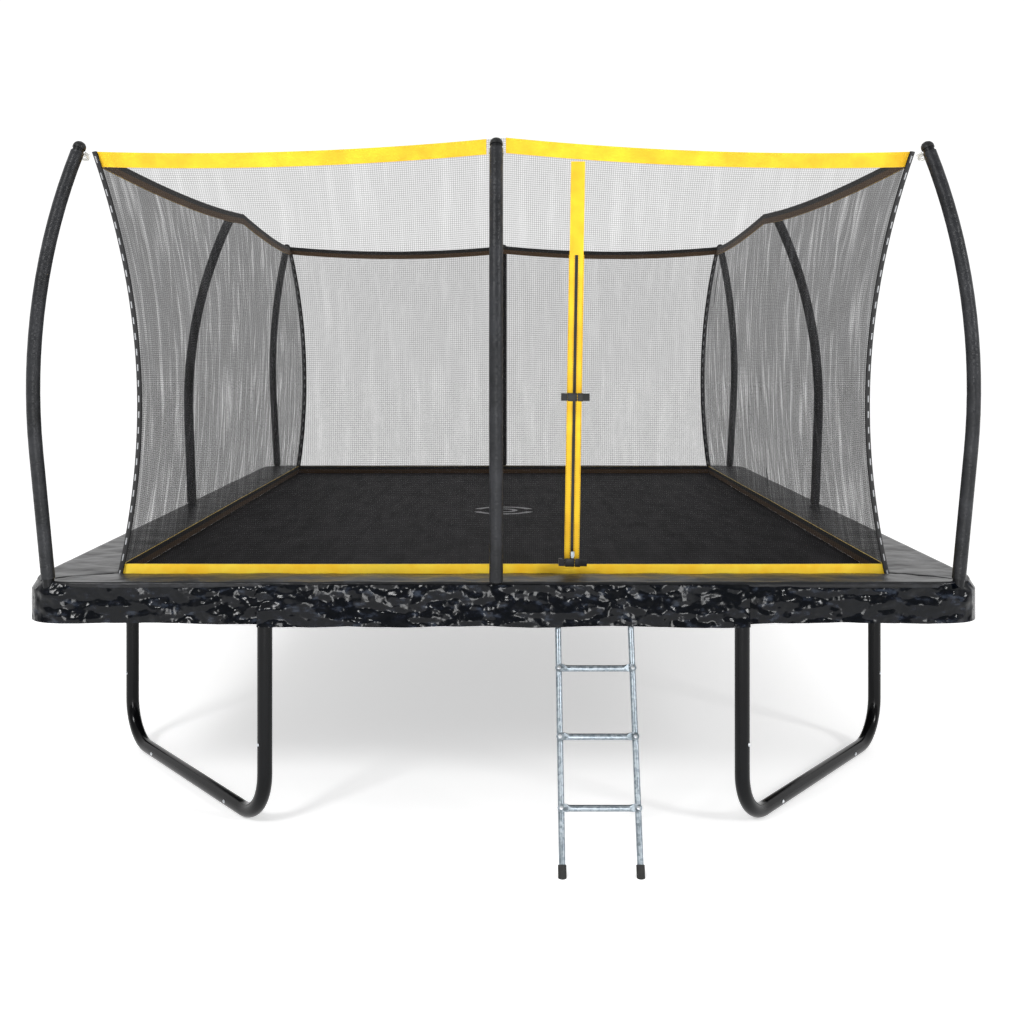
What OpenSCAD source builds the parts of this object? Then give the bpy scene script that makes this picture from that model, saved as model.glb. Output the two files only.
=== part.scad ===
// Rectangular garden trampoline with a curved-pole safety net and a hook-on ladder.
// The front, with the door and the ladder, faces -Y. X runs across it, and Z = 0 is the ground.
// The origin is on the ground under the middle of the whole object, ladder included.

/* [Frame] */
// Width of the frame over its tubes
frame_w = 3050; // [2900:10:3200]
// Length of the frame over its tubes
frame_l = 4270; // [4100:10:4400]
// Height of the top of the frame tube
frame_top = 805; // [780:5:840]
// Outside diameter of the frame and leg tubes
tube_d = 50; // [49:0.5:51]
// Wall of the frame and leg tubes
tube_wall = 1.8; // [1.5:0.1:2.2]
// Bend radius of a frame corner, to the tube's axis
corner_r = 110; // [100:5:120]

/* [Legs] */
// How far each end upright stands from the centre line
leg_end_x = 790; // [700:10:900]
// How far each side upright stands from the end rail's axis
leg_side_in = 930; // [850:10:1000]
// Bend radius of a leg elbow, to the tube's axis
elbow_r = 160; // [120:5:165]

/* [Bed] */
// Width of the padded border over the springs
pad_w = 239; // [235:1:245]
// Thickness of the pad
pad_t = 20; // [15:1:25]
// Drop of the pad's skirt below the pad's top
skirt_drop = 135; // [120:5:140]
// Distance between neighbouring springs
spring_gap = 150; // [150:1:152]
// Half the width of the loose flap in the front skirt
flap_half = 800; // [600:10:850]

/* [Poles] */
// Outside diameter of a pole
pole_d = 38; // [36:1:38]
// Outside diameter of the foam sleeve on a pole
sleeve_d = 45; // [43:1:46]
// Length of the straight lower part of a pole above the frame
pole_straight = 450; // [400:10:500]
// Radius of the bend in the upper part of a pole
pole_bend_r = 2120; // [2000:10:2300]
// Angle of that bend
pole_bend = 27.9; // [26:0.1:29]
// Outward lean of the corner poles at the foot
corner_tilt = 5.6; // [4:0.1:6]
// Outward lean of the two side poles at the foot
side_tilt = 2.1; // [1:0.1:4]
// Outward lean of the back pole at the foot
back_tilt = 3.3; // [1:0.1:4]
// Outward lean of the front pole at the foot
front_tilt = 7.2; // [6:0.1:7.2]
// Sideways place of the front pole
front_pole_x = -24; // [-40:1:0]

/* [Net] */
// Height of the net's top edge at the corners
net_top = 2266; // [2200:1:2280]
// How far the net's corners spread outward at the top
net_spread = 66; // [50:1:67]
// How far the net's corners are drawn inward at half height
net_draw = 84; // [60:1:84]
// Width of the yellow band at the net's top
band_w = 56; // [50:1:60]
// Width of the yellow hem at the net's foot
hem_w = 44; // [40:1:50]

/* [Door] */
// Distance of the door from the centre line at its foot
door_x = 238; // [200:1:300]
// Sideways run of the door line over its height
door_run = 18; // [0:1:20]
// Height of the top end of the zip
zip_top = 1912; // [1800:1:1950]
// Height of the upper buckle
buckle_z = 1426; // [1300:1:1500]

/* [Ladder] */
// Distance of the ladder's middle from the centre line
ladder_x = 295; // [290:1:298]
// Distance between the axes of the ladder's rails
ladder_w = 236; // [234:1:240]
// Outside diameter of the ladder's tubes
ladder_d = 20; // [18:1:20]
// Lean of the ladder from the vertical
ladder_lean = 24; // [20:1:24]
// Height of the lowest rung
rung_low = 180; // [170:1:200]
// Rise from one rung to the next
rung_rise = 193; // [188:1:200]

/* [Hidden] */
$fn = 48;

slack = 0.2;
eps = 0.01;
screw_d = 6;
bolt_d = 8;

// Frame: half sizes to the tube's axis, and the lengths of its pieces
tube_r = tube_d / 2;
bore_d = tube_d - 2 * tube_wall;
ax = frame_w / 2 - tube_r;
ay = frame_l / 2 - tube_r;
axis_z = frame_top - tube_r;
corner_arm = 180;
spigot_len = 60;
spigot_d = bore_d - 2 * slack;
end_half = ax - corner_r - corner_arm;
side_half = ay - corner_r - corner_arm;
socket_len = 60;
socket_z = axis_z - tube_r - socket_len;
CORNERS = [[-1, -1], [1, -1], [-1, 1], [1, 1]];

// Legs: each lies in the upright plane from the end rail to the side rail
leg_dx = ax - leg_end_x;
leg_dy = leg_side_in;
leg_len = norm([leg_dx, leg_dy]);
leg_turn = -atan2(leg_dy, leg_dx);
elbow_arm = 70;
elbow_top = tube_r + elbow_r + elbow_arm;
elbow_end = elbow_r + elbow_arm;
// Screws of a leg: distance along it and height
LEG_SCREWS = [
    for (x = [0, leg_len]) for (z = [socket_z + 25, elbow_top + 30]) [x, z],
    [elbow_end + 30, tube_r],
    [leg_len - elbow_end - 30, tube_r]
];

// Bed: half sizes of the mat, the pad's inner edge and the pad's outer edge
pad_top = frame_top + slack + pad_t;
skirt_t = 3;
out_x = ax + 79;
out_y = ay + 79;
in_x = out_x - pad_w;
in_y = out_y - pad_w;
skirt_r = 160;
mat_x = in_x - 10;
mat_y = in_y - 10;
mat_t = 3;
mat_z = frame_top - 10;
spring_z = mat_z - 7;
spring_d = 20;
end_springs = 8;
side_springs = 12;
ring_reach = 22;

// Poles: offset of the foot from the frame's axis, and each pole's place, direction and lean
pole_off = 50;
pole_low = 75;
diag = (corner_r + pole_off) / sqrt(2);
cx = ax - corner_r + diag;
cy = ay - corner_r + diag;
// x, y, outward direction, lean
POLES = [
    [-cx, -cy, 225, corner_tilt], [front_pole_x, -ay - pole_off, 270, front_tilt], [cx, -cy, 315, corner_tilt],
    [ax + pole_off, 0, 0, side_tilt], [cx, cy, 45, corner_tilt], [0, ay + pole_off, 90, back_tilt],
    [-cx, cy, 135, corner_tilt], [-ax - pole_off, 0, 180, side_tilt]
];
function pole_bulge(tilt) = pole_straight * sin(tilt) + pole_bend_r * (1 - cos(tilt));
// End of a pole: distance outward from its foot and height above the frame
pole_end_x = -pole_bend_r * (1 - cos(pole_bend));
pole_end_z = pole_straight + pole_bend_r * sin(pole_bend);
function pole_end(p) = let (
    r = pole_end_x * cos(p[3]) + pole_end_z * sin(p[3]),
    h = pole_end_z * cos(p[3]) - pole_end_x * sin(p[3])
) [p[0] + r * cos(p[2]), p[1] + r * sin(p[2]), frame_top + h];
function is_corner(p) = p[2] % 90 != 0;

// Net: walls in the order right, back, left, front. Each has its distance from the middle, its half
// length, how far its top middle stands out, its draw at half height and the rise of its top middle
net_z = mat_z + 3;
net_x = in_x - 8;
net_y = in_y - 8;
net_t = 1.5;
WALLS = [
    [net_x, net_y, -35, 40, 0], [net_y, net_x, -5, 30, 0],
    [net_x, net_y, -35, 40, 0], [net_y, net_x, 90, 0, 45]
];
FRONT = 3;
function corner_off(v) = net_spread * v - 4 * net_draw * v * (1 - v);
function middle_off(w, v) = w[2] * v - 4 * w[3] * v * (1 - v);
function wall_off(w, u, v) = corner_off(v) * u * u + middle_off(w, v) * (1 - u * u);
function wall_top(w, u) = net_top + w[4] * (1 - u * u);
function wall_point(w, u, v) = [
    w[0] + wall_off(w, u, v),
    u * (w[1] + corner_off(v)),
    net_z + v * (wall_top(w, u) - net_z)
];
band_v = band_w / (net_top - net_z);
hem_v = hem_w / (net_top - net_z);
tape_v = (pad_top + 3 - net_z) / (net_top - net_z);
band_lift = 4;
wall_end = 0.993;

// Door: a straight leaning line on the front wall
door_foot_z = net_z + hem_w + 2;
front_wall = WALLS[FRONT];
door_u = door_x / net_x;
door_foot = wall_point(front_wall, door_u, (door_foot_z - net_z) / (net_top - net_z));
door_head_z = net_top - band_w + 18;
door_head = wall_point(front_wall, door_u, (door_head_z - net_z) / (wall_top(front_wall, door_u) - net_z));
door_h = door_head_z - door_foot_z;
door_pitch = atan2(door_head[0] - door_foot[0], door_h);
door_yaw = atan2(door_run, door_h);
strip_w = 24;
zip_w = 12;
door_lift = 4;
buckle_lift = 14;
buckle_t = 8;

// Ladder: hung on the front rail by hooks that wrap it
ladder_r = ladder_d / 2;
hook_t = 5;
hook_r = tube_r + 0.3;
rail_y = hook_r + ladder_r - 1;
foot_h = 26;
rail_len = (axis_z + rail_y * sin(ladder_lean) - foot_h / 2) / cos(ladder_lean);
rung_half = ladder_w / 2 - 16;
plate_t = 3;
foot_out = rail_y * cos(ladder_lean) + (axis_z + rail_y * sin(ladder_lean)) * tan(ladder_lean);
foot_r = 13;

// The object's middle in Y, from the ladder's feet to the back pole
y_front = -(ay + foot_out + foot_r / cos(ladder_lean));
y_back = ay + pole_off + pole_bulge(back_tilt) + sleeve_d / 2;
centre_y = -(y_front + y_back) / 2;

module place() {
    translate([0, centre_y, 0]) children();
}

module quadrant(c) {
    mirror([c[0] < 0 ? 1 : 0, 0, 0]) mirror([0, c[1] < 0 ? 1 : 0, 0]) children();
}

// A tube standing on Z = 0
module pipe(length, d, bore) {
    difference() {
        cylinder(h = length, d = d);
        translate([0, 0, -1]) cylinder(h = length + 2, d = bore);
    }
}

module ring(d, bore) {
    difference() {
        circle(d = d);
        circle(d = bore);
    }
}

// A straight tube along Z with a reduced spigot above it
module spigot_pipe(length) {
    pipe(length, tube_d, bore_d);
    translate([0, 0, length - 6]) pipe(6, tube_d, spigot_d - 4);
    translate([0, 0, length - eps]) pipe(spigot_len, spigot_d, spigot_d - 4);
}

// A round-headed screw pointing out along Z from the surface at Z = 0
module dome_screw(d, head_d, head_h, depth) {
    rotate_extrude() polygon([
        [0, -depth], [d / 2, -depth], [d / 2, 0], [head_d / 2, 0],
        [head_d / 2 * 0.92, head_h * 0.5], [head_d / 2 * 0.6, head_h * 0.9], [0, head_h]
    ]);
}

// A hexagon-headed bolt pointing out along Z from the surface at Z = 0
module hex_bolt(d, depth) {
    translate([0, 0, -depth]) cylinder(h = depth + eps, d = d);
    cylinder(h = 5.5, d = 15, $fn = 6);
}

// ---- Frame ----

module corner_tube(c) {
    place() quadrant(c) color("#17181b") translate([ax - corner_r, ay - corner_r, axis_z]) difference() {
        union() {
            rotate_extrude(angle = 90) translate([corner_r, 0]) ring(tube_d, bore_d);
            translate([corner_r, 0, 0]) rotate([90, 0, 0]) spigot_pipe(corner_arm);
            translate([0, corner_r, 0]) rotate([0, -90, 0]) spigot_pipe(corner_arm);
        }
        for (turn = [31, 59]) {
            rotate([0, 0, turn]) translate([corner_r + 10, 0, 0]) rotate([0, 90, 0]) cylinder(h = 20, d = bolt_d + 0.4);
        }
    }
}

// Leg socket under a rail whose axis runs through the origin
module leg_socket() {
    translate([0, 0, socket_z - axis_z]) cylinder(h = socket_len + tube_r, d = tube_d);
}

module leg_socket_bore() {
    translate([0, 0, socket_z - axis_z - 1]) cylinder(h = socket_len + tube_r, d = bore_d);
}

module socket_screw_hole(turn) {
    translate([0, 0, 25 + socket_z - axis_z]) rotate([0, 0, turn]) rotate([-90, 0, 0]) {
        cylinder(h = tube_d, d = screw_d + slack);
    }
}

// Bolt holes of a bracket on a straight rail that runs along Y, outward along +X
module bracket_holes() {
    for (y = [-30, 30]) {
        translate([10, y, 0]) rotate([0, 90, 0]) cylinder(h = 20, d = bolt_d + 0.4);
    }
}

module end_rail(side) {
    place() color("#17181b") scale([1, side, 1]) translate([0, ay, axis_z]) difference() {
        union() {
            translate([-end_half, 0, 0]) rotate([0, 90, 0]) cylinder(h = 2 * end_half, d = tube_d);
            for (x = [-leg_end_x, leg_end_x]) translate([x, 0, 0]) leg_socket();
        }
        translate([-end_half - 1, 0, 0]) rotate([0, 90, 0]) cylinder(h = 2 * end_half + 2, d = bore_d);
        for (s = [-1, 1]) {
            translate([s * leg_end_x, 0, 0]) leg_socket_bore();
            translate([s * leg_end_x, 0, 0]) socket_screw_hole(s * leg_turn);
        }
        translate([side < 0 ? front_pole_x : 0, 0, 0]) rotate([0, 0, 90]) bracket_holes();
    }
}

// Half of a long side, from the middle joint to the corner tube
module side_rail(c) {
    leg_y = ay - leg_side_in;
    tongue = c[1] > 0;
    place() quadrant(c) color("#17181b") translate([ax, 0, axis_z]) difference() {
        union() {
            rotate([-90, 0, 0]) cylinder(h = side_half, d = tube_d);
            translate([0, leg_y, 0]) leg_socket();
            if (tongue) translate([0, eps, 0]) rotate([90, 0, 0]) cylinder(h = spigot_len, d = spigot_d);
        }
        translate([0, tongue ? 6 : -1, 0]) rotate([-90, 0, 0]) cylinder(h = side_half + 2, d = bore_d);
        if (tongue) translate([0, 10, 0]) rotate([90, 0, 0]) cylinder(h = spigot_len + 20, d = spigot_d - 4);
        translate([0, leg_y, 0]) leg_socket_bore();
        translate([0, leg_y, 0]) socket_screw_hole(leg_turn);
        bracket_holes();
    }
}

// ---- Legs ----

// A leg's own frame: X from the end upright to the side upright, Y outward, ground at Z = 0
module leg_frame(c) {
    place() quadrant(c) translate([leg_end_x, ay, 0]) rotate([0, 0, leg_turn]) children();
}

module leg_screw_holes() {
    for (s = LEG_SCREWS) {
        translate([s[0], 0, s[1]]) rotate([-90, 0, 0]) cylinder(h = tube_d, d = screw_d + slack);
    }
}

module leg_uprights(c) {
    leg_frame(c) color("#17181b") difference() {
        for (x = [0, leg_len]) {
            translate([x, 0, elbow_top]) spigot_pipe(socket_z - elbow_top);
        }
        leg_screw_holes();
    }
}

module leg_ground_rail(c) {
    leg_frame(c) color("#17181b") difference() {
        translate([elbow_end, 0, tube_r]) rotate([0, 90, 0]) pipe(leg_len - 2 * elbow_end, tube_d, bore_d);
        leg_screw_holes();
    }
}

module elbow() {
    translate([elbow_r, 0, tube_r + elbow_r]) rotate([-90, 0, 0]) rotate([0, 0, 90]) {
        rotate_extrude(angle = 90) translate([elbow_r, 0]) ring(tube_d, bore_d);
    }
    translate([0, 0, tube_r + elbow_r - eps]) spigot_pipe(elbow_arm);
    translate([elbow_r - eps, 0, tube_r]) rotate([0, 90, 0]) spigot_pipe(elbow_arm);
}

module leg_elbows() {
    for (c = CORNERS) leg_frame(c) color("#17181b") difference() {
        union() {
            elbow();
            translate([leg_len, 0, 0]) rotate([0, 0, 180]) elbow();
        }
        leg_screw_holes();
    }
}

module frame_screws() {
    for (c = CORNERS) leg_frame(c) for (s = LEG_SCREWS) {
        color("#c9ccd0") translate([s[0], tube_r, s[1]]) rotate([-90, 0, 0]) dome_screw(screw_d, 13, 4, 7);
    }
    for (p = POLES) pole_frame(p, false) translate([-pole_off, 0, -tube_r]) bracket_bolts(is_corner(p));
}

module bracket_bolts(curved) {
    for (s = [-1, 1]) color("#c9ccd0") {
        if (curved) {
            translate([-corner_r, 0, 0]) rotate([0, 0, s * 14]) translate([corner_r + tube_r + 3.4, 0, 0]) {
                rotate([0, 90, 0]) hex_bolt(bolt_d, 10);
            }
        } else {
            translate([tube_r + 3.2, s * 30, 0]) rotate([0, 90, 0]) hex_bolt(bolt_d, 10);
        }
    }
}

// ---- Poles ----

// A pole's own frame: X outward, origin at its foot level with the top of the frame
module pole_frame(p, lean = true) {
    place() translate([p[0], p[1], frame_top]) rotate([0, 0, p[2]]) rotate([0, lean ? p[3] : 0, 0]) children();
}

// A tube from height low in the straight part round the bend, up to the angle bend
module bent_pipe(d, bore, low, bend) {
    translate([-pole_bend_r, 0, pole_straight]) rotate([90, 0, 0]) {
        rotate_extrude(angle = bend, $fn = 400) translate([pole_bend_r, 0]) ring(d, bore, $fn = 48);
        translate([pole_bend_r, 0, 0]) rotate([90, 0, 0]) pipe(pole_straight - low, d, bore);
    }
}

module pole(i) {
    pole_frame(POLES[i]) color("#26272a") bent_pipe(pole_d, pole_d - 3, -pole_low, pole_bend);
}

module pole_sleeves() {
    for (p = POLES) pole_frame(p) color("#2b2b2e") bent_pipe(sleeve_d, pole_d + 2 * slack, 27, pole_bend - 0.35);
}

module at_pole_end() {
    translate([-pole_bend_r, 0, pole_straight]) rotate([0, -pole_bend, 0]) translate([pole_bend_r, 0, 0]) children();
}

module pole_caps() {
    for (p = POLES) pole_frame(p) at_pole_end() color("#0e0e10") rotate_extrude() polygon([
        [0, -18], [pole_d / 2 - 2, -18], [pole_d / 2 - 2, slack], [22, slack], [22, 8],
        [20, 15], [15, 21], [8, 24.5], [0, 25.5]
    ]);
}

// Half-round saddle profile that wraps the outer side of a frame tube
module saddle_profile() {
    difference() {
        circle(r = tube_r + 3.2);
        circle(r = tube_r + slack);
        translate([-60, -40]) square([75, 80]);
    }
}

module pole_brackets() {
    for (p = POLES) color("#1b1c1f") {
        pole_frame(p) pipe_socket();
        pole_frame(p, false) translate([-pole_off, 0, -tube_r]) difference() {
            union() {
                if (is_corner(p)) {
                    translate([-corner_r, 0, 0]) rotate([0, 0, -20]) {
                        rotate_extrude(angle = 40) translate([corner_r, 0]) saddle_profile();
                    }
                } else {
                    translate([0, 45, 0]) rotate([90, 0, 0]) linear_extrude(90) saddle_profile();
                }
                translate([tube_r + 1, -9, -26]) cube([8, 18, 40]);
            }
            bracket_bores(is_corner(p));
            translate([0, 0, tube_r]) translate([pole_off, 0, 0]) rotate([0, p[3], 0]) {
                translate([0, 0, -100]) cylinder(h = 160, d = pole_d + 4);
            }
        }
    }
}

// The cup that a pole's foot stands in
module pipe_socket() {
    translate([0, 0, -pole_low - 4]) difference() {
        cylinder(h = pole_low - 4, d = pole_d + 4);
        translate([0, 0, 3]) cylinder(h = pole_low + 2, d = pole_d + 2 * slack);
        translate([0, 0, -1]) cylinder(h = 8, d = 12);
    }
}

module bracket_bores(curved) {
    for (s = [-1, 1]) {
        if (curved) {
            translate([-corner_r, 0, 0]) rotate([0, 0, s * 14]) translate([corner_r + 10, 0, 0]) {
                rotate([0, 90, 0]) cylinder(h = 30, d = bolt_d + 0.4);
            }
        } else {
            translate([10, s * 30, 0]) rotate([0, 90, 0]) cylinder(h = 30, d = bolt_d + 0.4);
        }
    }
}

// ---- Pads ----

module round_rect(hx, hy, r) {
    square([2 * hx, 2 * (hy - r)], center = true);
    square([2 * (hx - r), 2 * hy], center = true);
    for (c = CORNERS) translate([c[0] * (hx - r), c[1] * (hy - r)]) circle(r = r);
}

// The quarter of the border that belongs to one side, cut along the mitres
module pad_quarter(side) {
    far = 100;
    hx = side % 2 == 0 ? out_x : out_y;
    hy = side % 2 == 0 ? out_y : out_x;
    rotate([0, 0, 90 * side]) polygon([
        [hx - pad_w - far, -(hy - pad_w - far)], [hx + far, -(hy + far)],
        [hx + far, hy + far], [hx - pad_w - far, hy - pad_w - far]
    ]);
}

module pad(side) {
    place() color("#15171c") difference() {
        union() {
            translate([0, 0, frame_top + slack]) linear_extrude(pad_t) intersection() {
                pad_quarter(side);
                difference() {
                    round_rect(out_x, out_y, skirt_r);
                    square([2 * in_x, 2 * in_y], center = true);
                }
            }
            translate([0, 0, pad_top - skirt_drop]) linear_extrude(skirt_drop) intersection() {
                pad_quarter(side);
                difference() {
                    round_rect(out_x, out_y, skirt_r);
                    round_rect(out_x - skirt_t, out_y - skirt_t, skirt_r - skirt_t);
                }
            }
        }
        for (p = POLES) translate([p[0], p[1], frame_top - 5]) cylinder(h = 60, d = sleeve_d + 1);
        if (side == FRONT) flap_and_hook_room();
    }
}

// What the front pad leaves open for the skirt flap and for the ladder's hooks
module flap_and_hook_room() {
    translate([-flap_half, -out_y - 1, 0]) cube([2 * flap_half, skirt_t + 2, 2000]);
    for (s = [-1, 1]) {
        translate([ladder_x + s * ladder_w / 2 - 17, -ay, axis_z]) rotate([0, 90, 0]) cylinder(h = 34, r = tube_r + 8);
    }
}

// The front skirt's loose middle hangs a little outward in front of the ladder
flap_slope = 9;
module pad_front_flap() {
    place() color("#15171c") translate([0, -out_y + skirt_t / 2, pad_top - skirt_t / 2]) rotate([-flap_slope, 0, 0]) {
        translate([2 - flap_half, -skirt_t / 2, -skirt_drop + 2]) {
            cube([2 * flap_half - 4, skirt_t, skirt_drop - 2]);
        }
    }
}

// ---- Net ----

function halves(q) = [[q[0], q[1], q[2]], [q[0], q[2], q[3]]];
function grid_faces(nu, nv) = let (
    n = (nu + 1) * (nv + 1),
    row = nv + 1
) [
    for (i = [0 : nu - 1]) for (j = [0 : nv - 1]) let (a = i * row + j) each concat(
        halves([n + a, n + a + 1, n + a + row + 1, n + a + row]),
        halves([a, a + row, a + row + 1, a + 1])
    ),
    for (i = [0 : nu - 1]) let (a = i * row, b = i * row + nv) each concat(
        halves([n + a, n + a + row, a + row, a]),
        halves([n + b + row, n + b, b, b + row])
    ),
    for (j = [0 : nv - 1]) let (b = nu * row + j) each concat(
        halves([n + j + 1, n + j, j, j + 1]),
        halves([n + b, n + b + 1, b + 1, b])
    )
];

// A thin sheet on wall k of the net, from u0 to u1 along it and v0 to v1 up it
module cloth(k, u0, u1, v0, v1, lift, thick, nu, nv) {
    w = WALLS[k];
    points = [
        for (s = [0, 1]) for (i = [0 : nu]) for (j = [0 : nv])
            wall_point(w, u0 + (u1 - u0) * i / nu, v0 + (v1 - v0) * j / nv) + [lift + s * thick, 0, 0]
    ];
    place() rotate([0, 0, 90 * k]) polyhedron(points, grid_faces(nu, nv), convexity = 4);
}

module net_wall(k) {
    color("#3a3a3c") if (k == FRONT) {
        gap = 7 / net_x;
        cloth(k, -wall_end, door_u - gap, 0, 1, 0, net_t, 16, 10);
        cloth(k, door_u + gap, wall_end, 0, 1, 0, net_t, 12, 10);
    } else {
        cloth(k, -wall_end, wall_end, 0, 1, 0, net_t, 24, 12);
    }
}

module net_top_band() {
    color("#ffd900") {
        for (k = [0 : 2]) cloth(k, -wall_end, wall_end, 1 - band_v, 1, band_lift, 2, 12, 1);
        cloth(FRONT, -wall_end, -0.043, 1 - band_v, 1, band_lift, 2, 5, 1);
        cloth(FRONT, 0.007, wall_end, 1 - band_v, 1, band_lift, 2, 5, 1);
    }
}

module net_hem() {
    color("#f4c818") for (k = [0 : 3]) cloth(k, -wall_end, wall_end, 0, hem_v, band_lift, 2, 6, 1);
}

// Webbing over each corner seam: a flat bar across the diagonal that follows the seam
module net_corner_tapes() {
    nv = 8;
    points = [
        for (s = [4, 7]) for (side = [-15, 15]) for (j = [0 : nv])
            let (v = tape_v + (1 - tape_v) * j / nv, g = corner_off(v)) [
            net_x + g + (s + side) / sqrt(2),
            net_y + g + (s - side) / sqrt(2),
            net_z + v * (net_top - net_z)
        ]
    ];
    color("#121214") for (c = CORNERS) place() quadrant(c) {
        polyhedron(points, [for (f = grid_faces(1, nv)) [f[0], f[2], f[1]]], convexity = 4);
    }
}

function net_tie_foot(i) = let (
    k = [0, 3, 0, 0, 0, 1, 0, 2][i],
    m = wall_point(WALLS[k], 0, 0.985),
    g = corner_off(0.985),
    p = POLES[i],
    z = net_z + 0.985 * (net_top - net_z)
) is_corner(p)
    ? [sign(p[0]) * (net_x + g + 8), sign(p[1]) * (net_y + g + 8), z]
    : [cos(p[2]) * (m[0] + 9) + abs(sin(p[2])) * p[0], sin(p[2]) * (m[0] + 9), m[2]];

module rod(a, b, d) {
    v = b - a;
    translate(a) rotate([0, acos(v[2] / norm(v)), atan2(v[1], v[0])]) cylinder(h = norm(v), d = d);
}

module net_ties() {
    color("#d8d8d4") for (i = [0 : 7]) place() {
        top = pole_end(POLES[i]);
        foot = net_tie_foot(i);
        rod(foot, foot + (top - foot) * (1 - (sleeve_d / 2 + 3) / norm(top - foot)), 6);
    }
}

// ---- Mat and springs ----

module mat() {
    color("#2a2a2c") place() translate([-mat_x, -mat_y, mat_z - mat_t]) cube([2 * mat_x, 2 * mat_y, mat_t]);
}

// Runs its children at every spring, with X pointing outward from the mat's edge
module at_springs() {
    for (k = [0 : 3]) {
        n = k % 2 == 0 ? side_springs : end_springs;
        edge = k % 2 == 0 ? mat_x : mat_y;
        for (i = [-n : n]) rotate([0, 0, 90 * k]) translate([edge, i * spring_gap, spring_z]) children();
    }
}

module mat_rings() {
    color("#b9bcc0") place() at_springs() translate([0.5, 0, 2]) linear_extrude(3) difference() {
        polygon([[0, -24], [0, 24], [ring_reach - 1, 5], [ring_reach - 1, -5]]);
        polygon([[3, -18], [3, 18], [ring_reach - 4, 2.5], [ring_reach - 4, -2.5]]);
    }
}

module springs() {
    start = ring_reach + 1;
    stop = ax - tube_r - mat_x - 0.5;
    color("#c3c6ca") place() at_springs() rotate([0, 90, 0]) rotate_extrude($fn = 24) polygon([
        [0, start], [2, start], [2, start + 8], [spring_d / 2, start + 14],
        [spring_d / 2, stop - 14], [2, stop - 8], [2, stop], [0, stop]
    ]);
}

module net_clips() {
    color("#c79a3a") place() for (k = [0 : 3]) {
        n = k % 2 == 0 ? side_springs : end_springs;
        edge = k % 2 == 0 ? mat_x : mat_y;
        for (i = [-n : 2 : n]) rotate([0, 0, 90 * k]) translate([edge + 5.2, i * spring_gap + 8, net_z - 7]) {
            rotate([0, 90, 0]) rotate_extrude($fn = 24) translate([5.2, 0]) circle(d = 2, $fn = 16);
        }
    }
}

// ---- Ladder ----

// The ladder's own frame: origin on the front rail's axis, rails hanging along -Z at Y = -rail_y
module ladder_frame(x = 0) {
    place() translate([ladder_x + x, -ay, axis_z]) rotate([-ladder_lean, 0, 0]) children();
}

function rung_drop(k) = (axis_z + rail_y * sin(ladder_lean) - rung_low - k * rung_rise) / cos(ladder_lean);

module ladder_rail(s) {
    ladder_frame(s * ladder_w / 2) color("#b4bac0") difference() {
        union() {
            translate([0, -rail_y, -rail_len]) cylinder(h = rail_len - 38, d = ladder_d);
            translate([-9, -hook_r - hook_t, -75]) cube([18, hook_t, 75]);
            rotate([0, 90, 0]) rotate([0, 0, -180]) translate([0, 0, -9]) hook_arc();
        }
        translate([0, -rail_y, -rail_len - 1]) cylinder(h = rail_len - 80, d = ladder_d - 2.4);
        for (k = [0 : 2]) translate([0, -rail_y - ladder_r - 2, -rung_drop(k)]) rotate([-90, 0, 0]) {
            cylinder(h = 12, d = screw_d + slack);
        }
    }
}

// Flattened end of a rail bent over the frame tube, in the plane of its first two axes
module hook_arc() {
    difference() {
        cylinder(h = 18, r = hook_r + hook_t);
        translate([0, 0, -1]) cylinder(h = 20, r = hook_r);
        translate([-100, -100, -1]) cube([100, 100, 20]);
        rotate([0, 0, 30]) translate([-100, 0, -1]) cube([100, 100, 20]);
    }
}

module ladder_rungs() {
    plate_y = -rail_y - ladder_r - 0.2;
    for (k = [0 : 2]) ladder_frame() color("#aeb4ba") translate([0, 0, -rung_drop(k)]) difference() {
        union() {
            translate([-rung_half + 10, -rail_y, 0]) rotate([0, 90, 0]) cylinder(h = 2 * rung_half - 20, d = ladder_d);
            for (s = [-1, 1]) scale([s, 1, 1]) {
                hull() {
                    translate([rung_half - 10.5, -rail_y, 0]) rotate([0, 90, 0]) cylinder(h = 0.5, d = ladder_d, $fn = 32);
                    translate([rung_half + 3, plate_y - plate_t, -12]) cube([0.5, plate_t, 24]);
                }
                translate([rung_half + 3.4, plate_y - plate_t, -12]) cube([13, plate_t, 24]);
                translate([rung_half + 16, plate_y, 0]) rotate([90, 0, 0]) cylinder(h = plate_t, r = 12);
            }
        }
        for (s = [-1, 1]) translate([s * ladder_w / 2, plate_y + 1, 0]) rotate([90, 0, 0]) {
            cylinder(h = 10, d = screw_d + slack);
        }
    }
}

module ladder_screws() {
    for (k = [0 : 2]) for (s = [-1, 1]) ladder_frame(s * ladder_w / 2) color("#d5d8dc") {
        translate([0, -rail_y - ladder_r - 0.2 - plate_t, -rung_drop(k)]) rotate([90, 0, 0]) dome_screw(screw_d, 12, 4, 7);
    }
}

// Rubber feet, cut level where they stand on the ground
module ladder_feet() {
    for (s = [-1, 1]) color("#0f0f10") difference() {
        ladder_frame(s * ladder_w / 2) translate([0, -rail_y, -rail_len - foot_h]) difference() {
            cylinder(h = foot_h + 22, r = foot_r);
            translate([0, 0, foot_h - 0.1]) cylinder(h = 30, d = ladder_d + 2 * slack);
        }
        place() translate([ladder_x - 200, -ay - foot_out - 100, -100]) cube([400, 200, 100]);
    }
}

// ---- Door ----

// The door's own frame: X outward, Y along the wall, Z up the zip, origin at the zip's foot
module door_frame() {
    place() rotate([0, 0, 270]) translate(door_foot) rotate([0, door_pitch, 0]) rotate([-door_yaw, 0, 0]) children();
}

zip_h = (zip_top - door_foot_z) / cos(door_pitch);

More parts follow.
